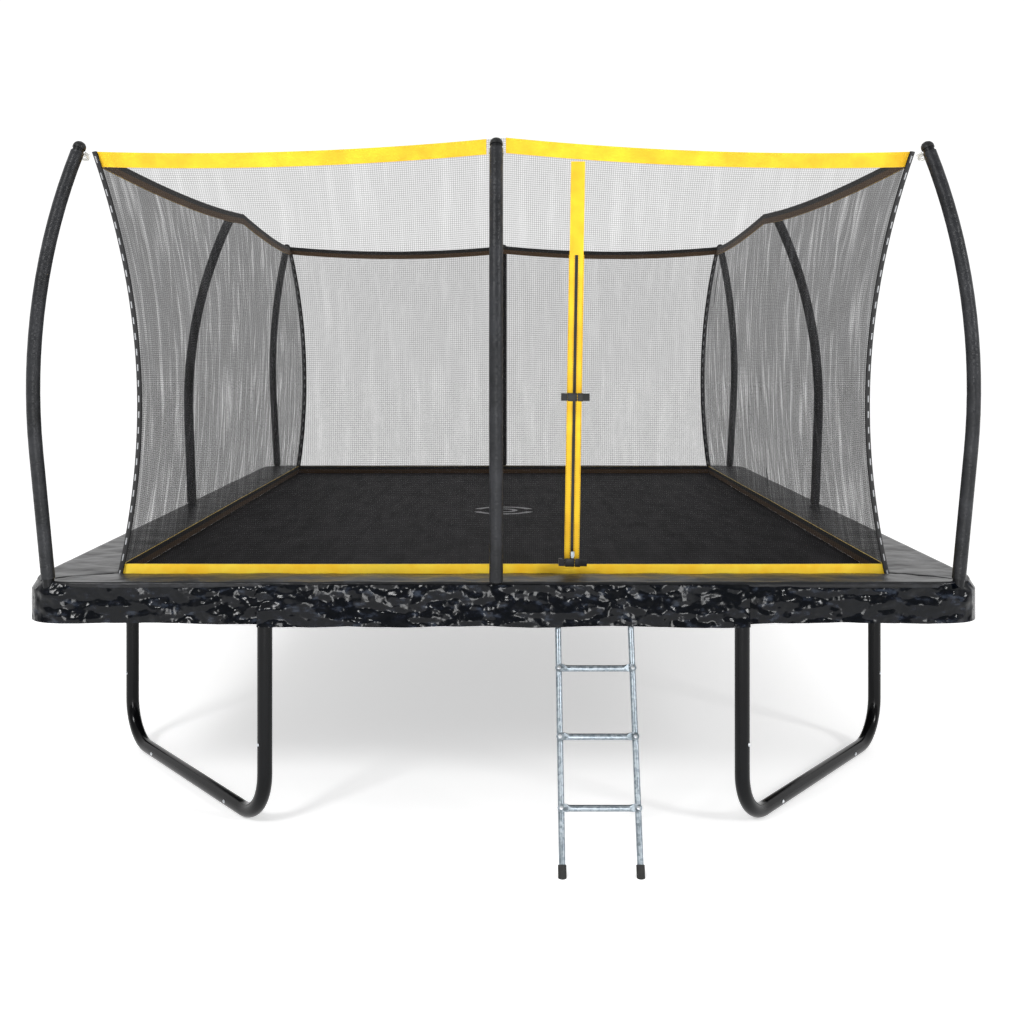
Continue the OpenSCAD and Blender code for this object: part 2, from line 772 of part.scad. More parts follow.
module door_strips() {
    color("#ffdf2e") door_frame() for (s = [-1, 1]) {
        translate([door_lift, s > 0 ? zip_w / 2 : -zip_w / 2 - strip_w, 0]) cube([2, strip_w, zip_h]);
        translate([door_lift, s > 0 ? 0.05 : -zip_w / 2 - strip_w, zip_h]) {
            cube([2, zip_w / 2 + strip_w - 0.05, door_h / cos(door_pitch) - zip_h]);
        }
    }
}

module door_zip() {
    color("#100f10") door_frame() translate([door_lift - 1, -zip_w / 2 + 0.2, 0.5]) cube([2.2, zip_w - 0.4, zip_h - 1]);
}

slider_z = 34;
module zip_slider() {
    color("#9fa3a8") door_frame() translate([door_lift + 1.6, 0, slider_z]) {
        translate([0, -6, 0]) cube([4.4, 12, 16]);
        translate([4.4 - eps, -2, 5]) cube([1.6, 4, 6]);
        translate([2.4, -4, -24]) cube([1.8, 8, 26]);
    }
}

buckle_w = 28;
lower_buckle = 14;
upper_buckle = (buckle_z - door_foot_z) / cos(door_pitch);

module at_buckle(h) {
    door_frame() translate([buckle_lift, 0, h]) children();
}

// Folded webbing that holds the fixed half of each buckle, sewn to the net beside the door
module buckle_straps() {
    color("#141416") for (h = [lower_buckle, upper_buckle]) at_buckle(h) {
        translate([-8, -48, -12.5]) cube([12, 12, 25]);
        translate([2, -37, -12.5]) cube([2, 10.5, 25]);
    }
}

module buckle_sockets() {
    color("#17171a") for (h = [lower_buckle, upper_buckle]) at_buckle(h) translate([0, -26, -buckle_w / 2]) difference() {
        cube([buckle_t, 32, buckle_w]);
        translate([1.5, 8, 3]) cube([buckle_t - 3, 30, buckle_w - 6]);
    }
}

module buckle_tongue(h) {
    color("#17171a") at_buckle(h) {
        translate([0, 8, -buckle_w / 2]) cube([buckle_t, 18, buckle_w]);
        translate([2, 25, -12.5]) cube([2.4, 24, 25]);
        for (z = [-9, 0, 9]) translate([2.2, -14, z - 1.8]) cube([buckle_t - 4.4, 22 + eps, 3.6]);
    }
}

corner_tube(CORNERS[0]);  // corner_tube_front_left
corner_tube(CORNERS[1]);  // corner_tube_front_right
corner_tube(CORNERS[2]);  // corner_tube_back_left
corner_tube(CORNERS[3]);  // corner_tube_back_right
end_rail(-1);  // front_rail
end_rail(1);  // back_rail
side_rail(CORNERS[0]);  // left_rail_front
side_rail(CORNERS[1]);  // right_rail_front
side_rail(CORNERS[2]);  // left_rail_back
side_rail(CORNERS[3]);  // right_rail_back
leg_uprights(CORNERS[0]);  // leg_front_left_uprights
leg_uprights(CORNERS[1]);  // leg_front_right_uprights
leg_uprights(CORNERS[2]);  // leg_back_left_uprights
leg_uprights(CORNERS[3]);  // leg_back_right_uprights
leg_ground_rail(CORNERS[0]);  // leg_front_left_ground_rail
leg_ground_rail(CORNERS[1]);  // leg_front_right_ground_rail
leg_ground_rail(CORNERS[2]);  // leg_back_left_ground_rail
leg_ground_rail(CORNERS[3]);  // leg_back_right_ground_rail
leg_elbows();
frame_screws();
pole(0);  // pole_front_left
pole(1);  // pole_front_middle
pole(2);  // pole_front_right
pole(3);  // pole_right_middle
pole(4);  // pole_back_right
pole(5);  // pole_back_middle
pole(6);  // pole_back_left
pole(7);  // pole_left_middle
pole_sleeves();
pole_caps();
pole_brackets();
pad(0);  // pad_right
pad(1);  // pad_back
pad(2);  // pad_left
pad(FRONT);  // pad_front
pad_front_flap();
net_wall(0);  // net_right
net_wall(1);  // net_back
net_wall(2);  // net_left
net_wall(FRONT);  // net_front
net_top_band();
net_hem();
net_corner_tapes();
net_ties();
net_clips();
mat();
mat_rings();
springs();
ladder_rail(-1);  // ladder_rail_left
ladder_rail(1);  // ladder_rail_right
ladder_rungs();
ladder_feet();
ladder_screws();
door_strips();
door_zip();
zip_slider();
buckle_straps();
buckle_sockets();
buckle_tongue(upper_buckle);  // upper_buckle_tongue
buckle_tongue(lower_buckle);  // lower_buckle_tongue
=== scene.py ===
"""Looks of a rectangular garden trampoline: net, pads, mat, springs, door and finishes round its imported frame."""

import math

import bpy
from mathutils import Euler, Matrix, Vector, noise


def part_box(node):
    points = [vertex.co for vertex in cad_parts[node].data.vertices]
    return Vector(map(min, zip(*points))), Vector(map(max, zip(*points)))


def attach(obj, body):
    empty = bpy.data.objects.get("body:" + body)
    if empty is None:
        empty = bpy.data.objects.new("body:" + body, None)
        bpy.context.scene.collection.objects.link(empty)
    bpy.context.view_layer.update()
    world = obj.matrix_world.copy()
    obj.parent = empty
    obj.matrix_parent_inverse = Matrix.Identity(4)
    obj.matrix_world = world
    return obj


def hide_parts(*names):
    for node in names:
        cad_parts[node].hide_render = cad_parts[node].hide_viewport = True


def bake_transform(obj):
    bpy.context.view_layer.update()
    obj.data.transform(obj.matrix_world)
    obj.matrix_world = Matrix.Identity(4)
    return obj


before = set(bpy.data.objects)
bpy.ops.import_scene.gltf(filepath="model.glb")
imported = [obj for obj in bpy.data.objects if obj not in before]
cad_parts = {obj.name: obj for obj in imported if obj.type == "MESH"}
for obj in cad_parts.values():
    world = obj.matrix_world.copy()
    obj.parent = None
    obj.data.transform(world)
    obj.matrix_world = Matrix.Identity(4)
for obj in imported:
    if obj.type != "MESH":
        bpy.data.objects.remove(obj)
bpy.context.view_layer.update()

bl_info = {
    "name": "Garden Trampoline",
    "version": (1, 0, 0),
    "blender": (4, 5, 0),
    "location": "View3D > Sidebar > Trampoline",
    "description": "Builds the cloth, springs, door and finishes of a rectangular trampoline",
    "category": "Object",
}

# ---- Places, read from the frame ----

MAT_LOW, MAT_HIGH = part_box("mat")
CENTRE_Y = (MAT_LOW[1] + MAT_HIGH[1]) / 2
MAT_X = (MAT_HIGH[0] - MAT_LOW[0]) / 2
MAT_Y = (MAT_HIGH[1] - MAT_LOW[1]) / 2
MAT_Z = MAT_HIGH[2]
PAD_LOW, PAD_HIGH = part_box("pad_right")
PAD_TOP = PAD_HIGH[2]
SKIRT_FOOT = PAD_LOW[2]
OUT_X = PAD_HIGH[0]
OUT_Y = (PAD_HIGH[1] - PAD_LOW[1]) / 2
IN_X = PAD_LOW[0]
IN_Y = OUT_Y - (OUT_X - IN_X)
CORNER_R = 0.160
PAD_THICK = 0.020
NET_FOOT = MAT_Z + 0.003
NET_X = IN_X - 0.008
NET_Y = IN_Y - 0.008
NET_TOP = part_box("net_right")[1][2]
FRAME_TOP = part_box("front_rail")[1][2]
FRAME_TUBE_R = 0.025
FRAME_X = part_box("right_rail_back")[1][0] - FRAME_TUBE_R
SPRING_Z = (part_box("springs")[0][2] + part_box("springs")[1][2]) / 2
SPRING_GAP = 0.150
RIGHT, BACK, LEFT, FRONT = range(4)
SIDES = ("right", "back", "left", "front")
# Each wall's distance from the middle, half length, top middle's stand-out, draw and rise
WALLS = (
    (NET_X, NET_Y, -0.035, 0.040, 0.0), (NET_Y, NET_X, -0.005, 0.030, 0.0),
    (NET_X, NET_Y, -0.035, 0.040, 0.0), (NET_Y, NET_X, 0.090, 0.0, 0.045),
)
NET_SPREAD = 0.066
NET_DRAW = 0.084
NET_SAG = 0.035
BAND = 0.056
BAND_V = BAND / (NET_TOP - NET_FOOT)
SKIRT_TOP = PAD_TOP - 0.007
TOP_BAND_V = 0.9 * BAND_V
HEM_V = 0.044 / (NET_TOP - NET_FOOT)
FRONT_POLE_X = sum(corner[0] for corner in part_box("pole_front_middle")) / 2


def side_point(side, out, along, z):
    """A point on one side: out from the middle, along it, and up."""
    turn = side * math.pi / 2
    x = out * math.cos(turn) - along * math.sin(turn)
    y = out * math.sin(turn) + along * math.cos(turn)
    return Vector((x, y + CENTRE_Y, z))


def corner_off(v):
    """How far the net's corners stand off their foot at v up the wall."""
    return NET_SPREAD * v - 4 * NET_DRAW * v * (1 - v)


def wall_point(side, u, v, lift=0.0):
    """The net's wall at u from -1 to 1 along it and v from 0 to 1 up it, lifted outward."""
    out, half, stand, draw, rise = WALLS[side]
    middle = stand * v - 4 * draw * v * (1 - v)
    off = corner_off(v) * u * u + middle * (1 - u * u)
    top = NET_TOP + rise * (1 - u * u) - NET_SAG * 4 * abs(u) * (1 - abs(u))
    return side_point(side, out + off + lift, u * (half + corner_off(v)), NET_FOOT + v * (top - NET_FOOT))


DOOR_U = 0.238 / NET_X
DOOR_HEAD = 1.912
DOOR_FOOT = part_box("door_zip")[0][2]
DOOR_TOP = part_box("door_strips")[1][2]
DOOR_LEAN = 0.018


def door_point(across, height, lift):
    """A point on the door line: across it, at a height, and lifted off the net."""
    share = (height - DOOR_FOOT) / (DOOR_TOP - DOOR_FOOT)
    low = wall_point(FRONT, DOOR_U, (DOOR_FOOT - NET_FOOT) / (NET_TOP - NET_FOOT))
    top = NET_TOP + WALLS[FRONT][4] * (1 - DOOR_U * DOOR_U)
    high = wall_point(FRONT, DOOR_U, (DOOR_TOP - NET_FOOT) / (top - NET_FOOT))
    x = low.x + across + DOOR_LEAN * share
    return Vector((x, low.y + (high.y - low.y) * share - lift, height))


# ---- Meshes ----

def link(obj):
    """Puts a new object in the scene."""
    bpy.context.scene.collection.objects.link(obj)
    return obj


def mesh_piece(name, points, faces, materials, uvs=None, slots=None, smooth=True):
    """A mesh object at the origin, with UVs in metres and a material slot for each face."""
    mesh = bpy.data.meshes.new(name)
    mesh.from_pydata([tuple(p) for p in points], [], faces)
    for material in materials:
        mesh.materials.append(material)
    if uvs:
        layer = mesh.uv_layers.new(name="UVMap")
        for loop in mesh.loops:
            layer.data[loop.index].uv = uvs[loop.vertex_index]
    if slots:
        for face, slot in zip(mesh.polygons, slots):
            face.material_index = slot
    for face in mesh.polygons:
        face.use_smooth = smooth
    mesh.validate()
    return link(bpy.data.objects.new(name, mesh))


def cloth_grid(nu, nv, point, uv, flip=False):
    """Points, faces and UVs of a cloth of nu by nv squares."""
    points = [point(i / nu, j / nv) for i in range(nu + 1) for j in range(nv + 1)]
    uvs = [uv(i / nu, j / nv) for i in range(nu + 1) for j in range(nv + 1)]
    row = nv + 1
    faces = []
    for i in range(nu):
        for j in range(nv):
            a = i * row + j
            face = (a, a + row, a + row + 1, a + 1)
            faces.append(face[::-1] if flip else face)
    return points, faces, uvs


def join_grids(grids):
    """Several grids as one set of points, faces and UVs."""
    points, faces, uvs = [], [], []
    for p, f, t in grids:
        base = len(points)
        points += p
        faces += [tuple(i + base for i in face) for face in f]
        uvs += t
    return points, faces, uvs


def cloth_piece(name, grid, finish):
    """A cloth from a grid's points, faces and UVs, in one finish."""
    return mesh_piece(name, grid[0], grid[1], [finish_of(finish)], grid[2])


def plain_mesh(name, source, materials):
    """The evaluated shape of source as a new plain mesh, with the source removed."""
    graph = bpy.context.evaluated_depsgraph_get()
    mesh = bpy.data.meshes.new_from_object(source.evaluated_get(graph))
    mesh.name = name
    if not mesh.materials:
        for material in materials:
            mesh.materials.append(material)
    old = source.data
    bpy.data.objects.remove(source)
    if old.users == 0:
        bpy.data.meshes.remove(old)
    return link(bpy.data.objects.new(name, mesh))


def fold(p, size, seed):
    """Smooth noise from -1 to 1 with folds of about the given size."""
    return noise.noise(Vector((p[0] / size, p[1] / size, p[2] / size + seed * 7.3)))


# ---- Node trees ----

def add_node(tree, kind, links=None, values=None, **settings):
    """Adds a node, sets its properties and socket values, and links its inputs."""
    node = tree.nodes.new(kind)
    for key, value in settings.items():
        setattr(node, key, value)
    for key, value in (values or {}).items():
        node.inputs[key].default_value = value
    for key, socket in (links or {}).items():
        tree.links.new(socket, node.inputs[key])
    return node


def linear(colour):
    """An sRGB hex colour as linear RGBA. A colour from the settings is linear already."""
    if not isinstance(colour, str):
        return tuple(colour)
    parts = [int(colour[i:i + 2], 16) / 255 for i in (1, 3, 5)]
    return tuple(c / 12.92 if c <= 0.04045 else ((c + 0.055) / 1.055) ** 2.4 for c in parts) + (1.0,)


def new_material(name, colour, roughness, **values):
    """A material with a Principled shader of that colour and roughness."""
    material = bpy.data.materials.new(name)
    material.use_nodes = True
    tree = material.node_tree
    tree.nodes.clear()
    shader = add_node(tree, "ShaderNodeBsdfPrincipled", values={
        "Base Color": linear(colour), "Roughness": roughness, **values})
    add_node(tree, "ShaderNodeOutputMaterial", {"Surface": shader.outputs[0]})
    return material, tree, shader


def surface(tree, shader, patterns, tint=None, gloss=None, bumps=(), coordinates="Object"):
    """Gives a shader its uneven colour, gloss and relief, and returns its patterns' sockets.

    A pattern is a socket, or a noise's scale, detail and stretch. tint names one with its stops of place and
    colour, gloss one with two roughnesses, and bumps each with a depth in metres."""
    place = add_node(tree, "ShaderNodeTexCoord").outputs[coordinates]
    made = {}
    for key, pattern in patterns.items():
        if not isinstance(pattern, tuple):
            made[key] = pattern
            continue
        scale, detail, *stretch = pattern
        spot = place
        if stretch:
            spot = add_node(tree, "ShaderNodeMapping", {"Vector": place}, {"Scale": stretch}).outputs[0]
        made[key] = add_node(
            tree, "ShaderNodeTexNoise", {"Vector": spot}, {"Scale": scale, "Detail": detail}).outputs[0]
    if tint:
        key, first, *between, last = tint
        ramp = add_node(tree, "ShaderNodeValToRGB", {"Fac": made[key]})
        stops = ramp.color_ramp.elements
        for stop, (spot, colour) in zip(stops, (first, last)):
            stop.position = spot
            stop.color = linear(colour)
        for spot, colour in between:
            stops.new(spot).color = linear(colour)
        tree.links.new(ramp.outputs[0], shader.inputs["Base Color"])
    if gloss:
        key, low, high = gloss
        span = add_node(tree, "ShaderNodeMapRange", {"Value": made[key]}, {"To Min": low, "To Max": high})
        tree.links.new(span.outputs[0], shader.inputs["Roughness"])
    normal = {}
    for key, depth in bumps:
        relief = add_node(
            tree, "ShaderNodeBump", {"Height": made[key], **normal}, {"Strength": 1.0, "Distance": depth})
        normal = {"Normal": relief.outputs[0]}
        tree.links.new(relief.outputs[0], shader.inputs["Normal"])
    return made


def thread_lines(tree, coordinate, pitch, share):
    """One where a thread of that share of the pitch runs, else zero."""
    turns = add_node(tree, "ShaderNodeMath", {0: coordinate}, {1: 1 / pitch}, operation="MULTIPLY")
    phase = add_node(tree, "ShaderNodeMath", {0: turns.outputs[0]}, operation="FRACT")
    return add_node(tree, "ShaderNodeMath", {0: phase.outputs[0]}, {1: share}, operation="LESS_THAN").outputs[0]


def weave_height(tree, pitch):
    """Height of a plain weave with that distance between threads."""
    place = add_node(tree, "ShaderNodeTexCoord").outputs["Object"]
    axes = add_node(tree, "ShaderNodeSeparateXYZ", {"Vector": place}).outputs
    waves = {}
    for index in (0, 1):
        angle = add_node(tree, "ShaderNodeMath", {0: axes[index]}, {1: math.tau / pitch}, operation="MULTIPLY")
        waves[index] = add_node(tree, "ShaderNodeMath", {0: angle.outputs[0]}, operation="SINE").outputs[0]
    return add_node(tree, "ShaderNodeMath", waves, operation="MULTIPLY").outputs[0]


# ---- Materials ----

def powder_coated_steel():
    """Glossy black powder coat, sprayed and baked: a slight orange peel under a clear shine."""
    material, tree, shader = new_material(
        "powder_coated_steel", "#08080a", 0.16, **{"Specular IOR Level": 0.16})
    surface(tree, shader, {"clouds": (3.0, 3.0), "polish": (22.0, 3.0), "peel": (260.0, 2.0)},
            ("clouds", (0.3, "#060607"), (0.7, settings().frame_colour)), ("polish", 0.1, 0.22),
            [("peel", 0.00012)])
    return material


def satin_painted_steel():
    """Satin black paint on the bare ends of the poles: soft wide highlights."""
    material, tree, shader = new_material("satin_painted_steel", "#0f1012", 0.4, **{"Specular IOR Level": 0.2})
    surface(tree, shader, {"polish": (40.0, 3.0), "grain": (300.0, 2.0)},
            gloss=("polish", 0.34, 0.5), bumps=[("grain", 0.0001)])
    return material


def zinc_plated_steel():
    """Bright zinc plate: a pale metal, a little cloudy."""
    material, tree, shader = new_material("zinc_plated_steel", "#cdd0d4", 0.3, Metallic=1.0)
    surface(tree, shader, {"clouds": (60.0, 3.0), "polish": (130.0, 3.0)},
            ("clouds", (0.3, "#b9bdc2"), (0.7, "#dfe2e5")), ("polish", 0.22, 0.42))
    return material


def galvanised_steel():
    """Hot-dip galvanised tube: grey-blue metal with crystal spangles 8 mm across."""
    material, tree, shader = new_material("galvanised_steel", "#929ba2", 0.34, Metallic=1.0)
    place = add_node(tree, "ShaderNodeTexCoord").outputs["Object"]
    cells = add_node(tree, "ShaderNodeTexVoronoi", {"Vector": place}, {"Scale": 125.0}).outputs["Color"]
    spangle = add_node(tree, "ShaderNodeSeparateXYZ", {"Vector": cells}).outputs[0]
    surface(tree, shader, {"spangle": spangle, "grain": (180.0, 2.0)},
            ("spangle", (0.0, "#79838a"), (1.0, settings().ladder_colour)), ("spangle", 0.28, 0.46),
            [("grain", 0.00015)])
    return material


def foam_sleeve_film():
    """Dark grey PVC film shrunk over foam tube: soft creases round the pole and a dull shine."""
    material, tree, shader = new_material("foam_sleeve_film", "#191a1c", 0.42, **{"Specular IOR Level": 0.22})
    surface(tree, shader, {"creases": (16.0, 4.0, 1.0, 1.0, 2.6), "clouds": (9.0, 3.0), "grain": (400.0, 2.0)},
            ("clouds", (0.3, "#17181a"), (0.7, "#2b2c2f")), ("creases", 0.26, 0.5),
            [("creases", 0.007), ("grain", 0.0002)])
    return material


def moulded_polypropylene():
    """Injection-moulded black plastic: fine sparked grain, low shine."""
    material, tree, shader = new_material("moulded_polypropylene", "#0d0e0f", 0.46, **{"Specular IOR Level": 0.35})
    surface(tree, shader, {"polish": (50.0, 3.0), "grain": (1400.0, 2.0)},
            gloss=("polish", 0.4, 0.56), bumps=[("grain", 0.00008)])
    return material


def moulded_rubber():
    """Moulded black rubber: matt and slightly dusty."""
    material, tree, shader = new_material("moulded_rubber", "#141414", 0.75)
    surface(tree, shader, {"dust": (70.0, 3.0), "grain": (700.0, 2.0)},
            ("dust", (0.3, "#0e0e0e"), (0.7, "#212120")), bumps=[("grain", 0.00012)])
    return material


def knitted_mesh(name, holes, threads_cover, warp, streak_tone_and_highlight, streaks, wrinkles):
    """Knitted polyester net. Real holes are 3 mm across: threads are drawn 7 mm apart so that they show, and
    the finer threads between them cover the share given by holes."""
    material, tree, shader = new_material(name, warp, 0.7, **{
        "Specular IOR Level": 0.1, "Sheen Weight": 0.06, "Sheen Roughness": 0.5})
    pitch, share = 0.007, 0.19
    place = add_node(tree, "ShaderNodeTexCoord").outputs["UV"]
    axes = add_node(tree, "ShaderNodeSeparateXYZ", {"Vector": place}).outputs
    threads = add_node(tree, "ShaderNodeMath", {
        index: thread_lines(tree, axes[index], pitch, share) for index in (0, 1)}, operation="MAXIMUM")
    cover = add_node(tree, "ShaderNodeMath", {0: threads.outputs[0]}, {
        1: threads_cover - holes, 2: holes}, operation="MULTIPLY_ADD")
    # Painted highlight: the paler streaks stand for light caught on the net's wrinkles, strong on the side nets and
    # faint on the front and back.
    made = surface(
        tree, shader, {"wrinkles": (22.0, 3.0, 1.0, 0.12, 1.0), "streaks": (streaks, 4.0, 1.0, 0.3, 1.0)},
        ("streaks", (0.4, warp), (0.75, streak_tone_and_highlight)), coordinates="UV")
    thin = add_node(tree, "ShaderNodeMapRange", {"Value": made["wrinkles"]}, {
        "From Min": 0.5, "From Max": 0.72, "To Min": 0.0, "To Max": wrinkles})
    see = add_node(tree, "ShaderNodeMath", {0: cover.outputs[0], 1: thin.outputs[0]}, operation="SUBTRACT")
    tree.links.new(see.outputs[0], shader.inputs["Alpha"])
    return material


def woven_polyester(name, low, high):
    """Woven polyester webbing: matt, with 1.6 mm ribs and slightly uneven dye."""
    material, tree, shader = new_material(name, low, 0.7, **{"Sheen Weight": 0.25, "Sheen Roughness": 0.4})
    surface(tree, shader, {"dye": (14.0, 4.0), "ribs": (620.0, 1.0), "waves": (45.0, 3.0)},
            ("dye", (0.3, low), (0.7, high)), bumps=[("ribs", 0.0004), ("waves", 0.0015)])
    return material


def bound_webbing():
    """Inner face of the top band: brown woven tape under a black binding 25 mm wide."""
    material, tree, shader = new_material("bound_webbing", "#4f381a", 0.75)
    place = add_node(tree, "ShaderNodeTexCoord").outputs["UV"]
    up = add_node(tree, "ShaderNodeSeparateXYZ", {"Vector": place}).outputs[1]
    share = add_node(tree, "ShaderNodeMath", {0: up}, {1: 1 / BAND}, operation="MULTIPLY").outputs[0]
    surface(tree, shader, {"share": share, "ribs": (620.0, 1.0)},
            ("share", (0.52, "#4a3317"), (0.56, "#0d0c0b")), bumps=[("ribs", 0.0004)])
    return material


def marked_webbing():
    """Black woven tape with a pale stitched dash every 55 mm."""
    material, tree, shader = new_material("marked_webbing", "#141416", 0.65)
    place = add_node(tree, "ShaderNodeTexCoord").outputs["UV"]
    across, along, _ = add_node(tree, "ShaderNodeSeparateXYZ", {"Vector": place}).outputs
    off = add_node(tree, "ShaderNodeMath", {0: across}, operation="ABSOLUTE")
    wide = add_node(tree, "ShaderNodeMath", {0: off.outputs[0]}, {1: 0.0042}, operation="LESS_THAN")
    dashes = add_node(tree, "ShaderNodeMath", {
        0: thread_lines(tree, along, 0.055, 0.42), 1: wide.outputs[0]}, operation="MULTIPLY").outputs[0]
    surface(tree, shader, {"dashes": dashes, "ribs": (700.0, 1.0)},
            ("dashes", (0.45, "#131315"), (0.55, "#a9abae")), bumps=[("ribs", 0.0003)])
    return material


def coated_pvc(name, low, high, crease, folds, depth, shine, smoothest):
    """PVC-coated cloth, calendered: blue-black, glossy, with puckers, sharp small highlights and pale blue-grey
    painted highlights on its creases.
    """
    material, tree, shader = new_material(name, low, 0.24, **{"Specular IOR Level": shine})
    surface(tree, shader, {
        "puckers": (folds, 0.9, 1.0, 1.0, 1.5), "creases": (folds * 2.2, 4.0, 1.0, 1.0, 2.0),
        "waves": (34.0, 1.0)},
            # Painted highlight: the crease colour stands for light caught on the cloth's folds.
            ("creases", (0.5, low), (0.6, high), (0.76, crease)), ("puckers", smoothest, smoothest + 0.14),
            [("puckers", depth), ("waves", depth * 0.12)])
    return material


def woven_polypropylene():
    """The mat: flat polypropylene yarns woven tight. Yarns 2 mm apart are drawn 6 mm apart so that they show."""
    material, tree, shader = new_material("woven_polypropylene", "#1f1e20", 0.75, **{"Specular IOR Level": 0.07})
    surface(tree, shader, {
        "streaks": (3.2, 5.0, 7.0, 1.0, 1.0), "polish": (9.0, 3.0), "weave": weave_height(tree, 0.006)},
            ("streaks", (0.35, "#181719"), (0.65, "#29282a")), ("polish", 0.6, 0.76), [("weave", 0.0007)])
    return material


def pale_print():
    """Pale ink screened on the mat, worn thin in places."""
    material, tree, shader = new_material("pale_print", "#8b8a8b", 0.6)
    surface(tree, shader, {"wear": (60.0, 4.0)}, ("wear", (0.35, "#6b6a6c"), (0.6, "#98979a")))
    return material


def braided_elastic():
    """Pale braided elastic cord with a 3 mm braid."""
    material, tree, shader = new_material("braided_elastic", "#d2d1cb", 0.7)
    # Painted shade: the colour follows the braid's relief, darker in its low places.
    surface(tree, shader, {"braid": (330.0, 1.0)}, ("braid", (0.3, "#a9a8a2"), (0.7, "#e2e1dc")),
            bumps=[("braid", 0.0006)])
    return material


def brassed_wire():
    """Brass-plated wire: a warm bright metal."""
    material, tree, shader = new_material("brassed_wire", "#c49a45", 0.32, Metallic=1.0)
    surface(tree, shader, {"clouds": (150.0, 3.0)}, ("clouds", (0.3, "#a87f30"), (0.7, "#d5ad58")))
    return material


def painted_floor():
    """Plain white studio floor, lit a little from within so that shadows stay pale."""
    material, tree, shader = new_material("painted_floor", "#f6f6f6", 0.9, **{
        "Emission Color": (1.0, 1.0, 1.0, 1.0)})
    surface(tree, shader, {"polish": (2.0, 3.0)}, gloss=("polish", 0.85, 0.95))
    place = add_node(tree, "ShaderNodeTexCoord").outputs["Object"]
    distance = add_node(tree, "ShaderNodeVectorMath", {0: place}, operation="LENGTH").outputs["Value"]
    glow = add_node(tree, "ShaderNodeMapRange", {"Value": distance}, {
        "From Min": 1.5, "From Max": 5.0, "To Min": 0.5, "To Max": 0.31})
    tree.links.new(glow.outputs[0], shader.inputs["Emission Strength"])
    return material


FINISHES = {}


def finish_of(key):
    """Each finish is made once and shared by its pieces."""
    makers = {
        "steel": powder_coated_steel, "satin": satin_painted_steel, "zinc": zinc_plated_steel,
        "galvanised": galvanised_steel, "sleeve": foam_sleeve_film, "plastic": moulded_polypropylene,
        "rubber": moulded_rubber, "mat": woven_polypropylene, "print": pale_print,
        "elastic": braided_elastic, "gold": brassed_wire, "binding": bound_webbing, "tape": marked_webbing,
        "net": lambda: knitted_mesh("knitted_mesh", 0.24, 0.58, "#0b0b0c", "#1a191b", 5.0, 0.06),
        "back_net": lambda: knitted_mesh("knitted_mesh_back", 0.14, 0.38, "#0b0b0c", "#1a191b", 5.0, 0.06),
        # The side nets' pale grey streaks are painted highlights on their wrinkles.
        "side_net": lambda: knitted_mesh("knitted_mesh_sides", 0.60, 0.90, "#09090a", "#4c4c50", 13.0, 0.34),
        "yellow": lambda: woven_polyester("yellow_polyester", settings().band_dark, settings().band_light),
        # Painted light: the hem is a paler copy of the band's yellow polyester, for the shade it sits in.
        "hem": lambda: woven_polyester("yellow_polyester_hem_painted_light", settings().hem_dark_with_painted_light, settings().hem_light_with_painted_light),
        "black_tape": lambda: woven_polyester("black_polyester", "#101012", "#1b1b1e"),
        "pad": lambda: coated_pvc("coated_pvc_pad", "#0b0c0f", "#15161a", "#26282d", 9.0, 0.014, 0.34, 0.3),
        "skirt": lambda: coated_pvc("coated_pvc_skirt", "#020408", "#080b12", "#2d333d", 11.0, 0.045, 0.2, 0.1),
        "floor": painted_floor,
    }
    if key not in FINISHES:
        FINISHES[key] = makers[key]()
    return FINISHES[key]


def coat(node, key):
    """Gives a CAD node a finish."""
    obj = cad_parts[node]
    obj.data.materials.clear()
    obj.data.materials.append(finish_of(key))


# ---- Settings that a user would change ----

def colour_property(name, description, colour):
    return bpy.props.FloatVectorProperty(
        name=name, description=description, default=linear(colour), size=4, min=0.0, max=1.0, subtype="COLOR")


class TrampolineSettings(bpy.types.PropertyGroup):
    """Sizes of the folds and springs, the colours and the light."""

    net_folds: bpy.props.FloatProperty(
        name="Net folds", description="Height of the folds in the net's walls",
        default=0.014, min=0.0, max=0.02, unit="LENGTH")
    skirt_folds: bpy.props.FloatProperty(
        name="Skirt folds", description="Height of the folds in the pad's skirt",
        default=0.010, min=0.0, max=0.012, unit="LENGTH")
    spring_turns: bpy.props.IntProperty(
        name="Spring turns", description="Turns drawn in each coil spring", default=15, min=8, max=30)
    spring_wire: bpy.props.FloatProperty(
        name="Spring wire", description="Diameter of the spring wire", default=0.0032, unit="LENGTH")
    band_dark: colour_property("Band, dark", "Darker dye of the yellow top band and door", "#dca805")
    band_light: colour_property("Band, light", "Lighter dye of the yellow top band and door", "#eec313")
    # Painted light: the hem's yellows are paler than the band's to make up for the shade the hem sits in, low by
    # the mat.
    hem_dark_with_painted_light: colour_property("Hem, dark", "Darker dye of the yellow hem at the mat", "#f8c312")
    hem_light_with_painted_light: colour_property("Hem, light", "Lighter dye of the yellow hem at the mat", "#ffdc3c")
    frame_colour: colour_property("Frame", "Lighter shade of the frame's powder coat", "#0e0f11")
    ladder_colour: colour_property("Ladder", "Lighter spangles of the galvanised ladder", "#a4adb4")
    key_light: bpy.props.FloatProperty(
        name="Key light", description="Power of the large light over the front", default=270.0, unit="POWER")
    sky: bpy.props.FloatProperty(
        name="Sky light", description="Strength of the even light from all sides", default=1.08, min=0.0)


def settings():
    return bpy.context.scene.trampoline


class Builder(bpy.types.Operator):
    """Base of the operators."""

    bl_options = {"REGISTER"}

    @classmethod
    def poll(cls, context):
        return context.scene is not None


# ---- Stage ----

CAMERA_BACK = 6.293
CAMERA_HEIGHT = 1.58
CAMERA_LENS = 44.44
CAMERA_SHIFT = (0.0083, -0.1563)


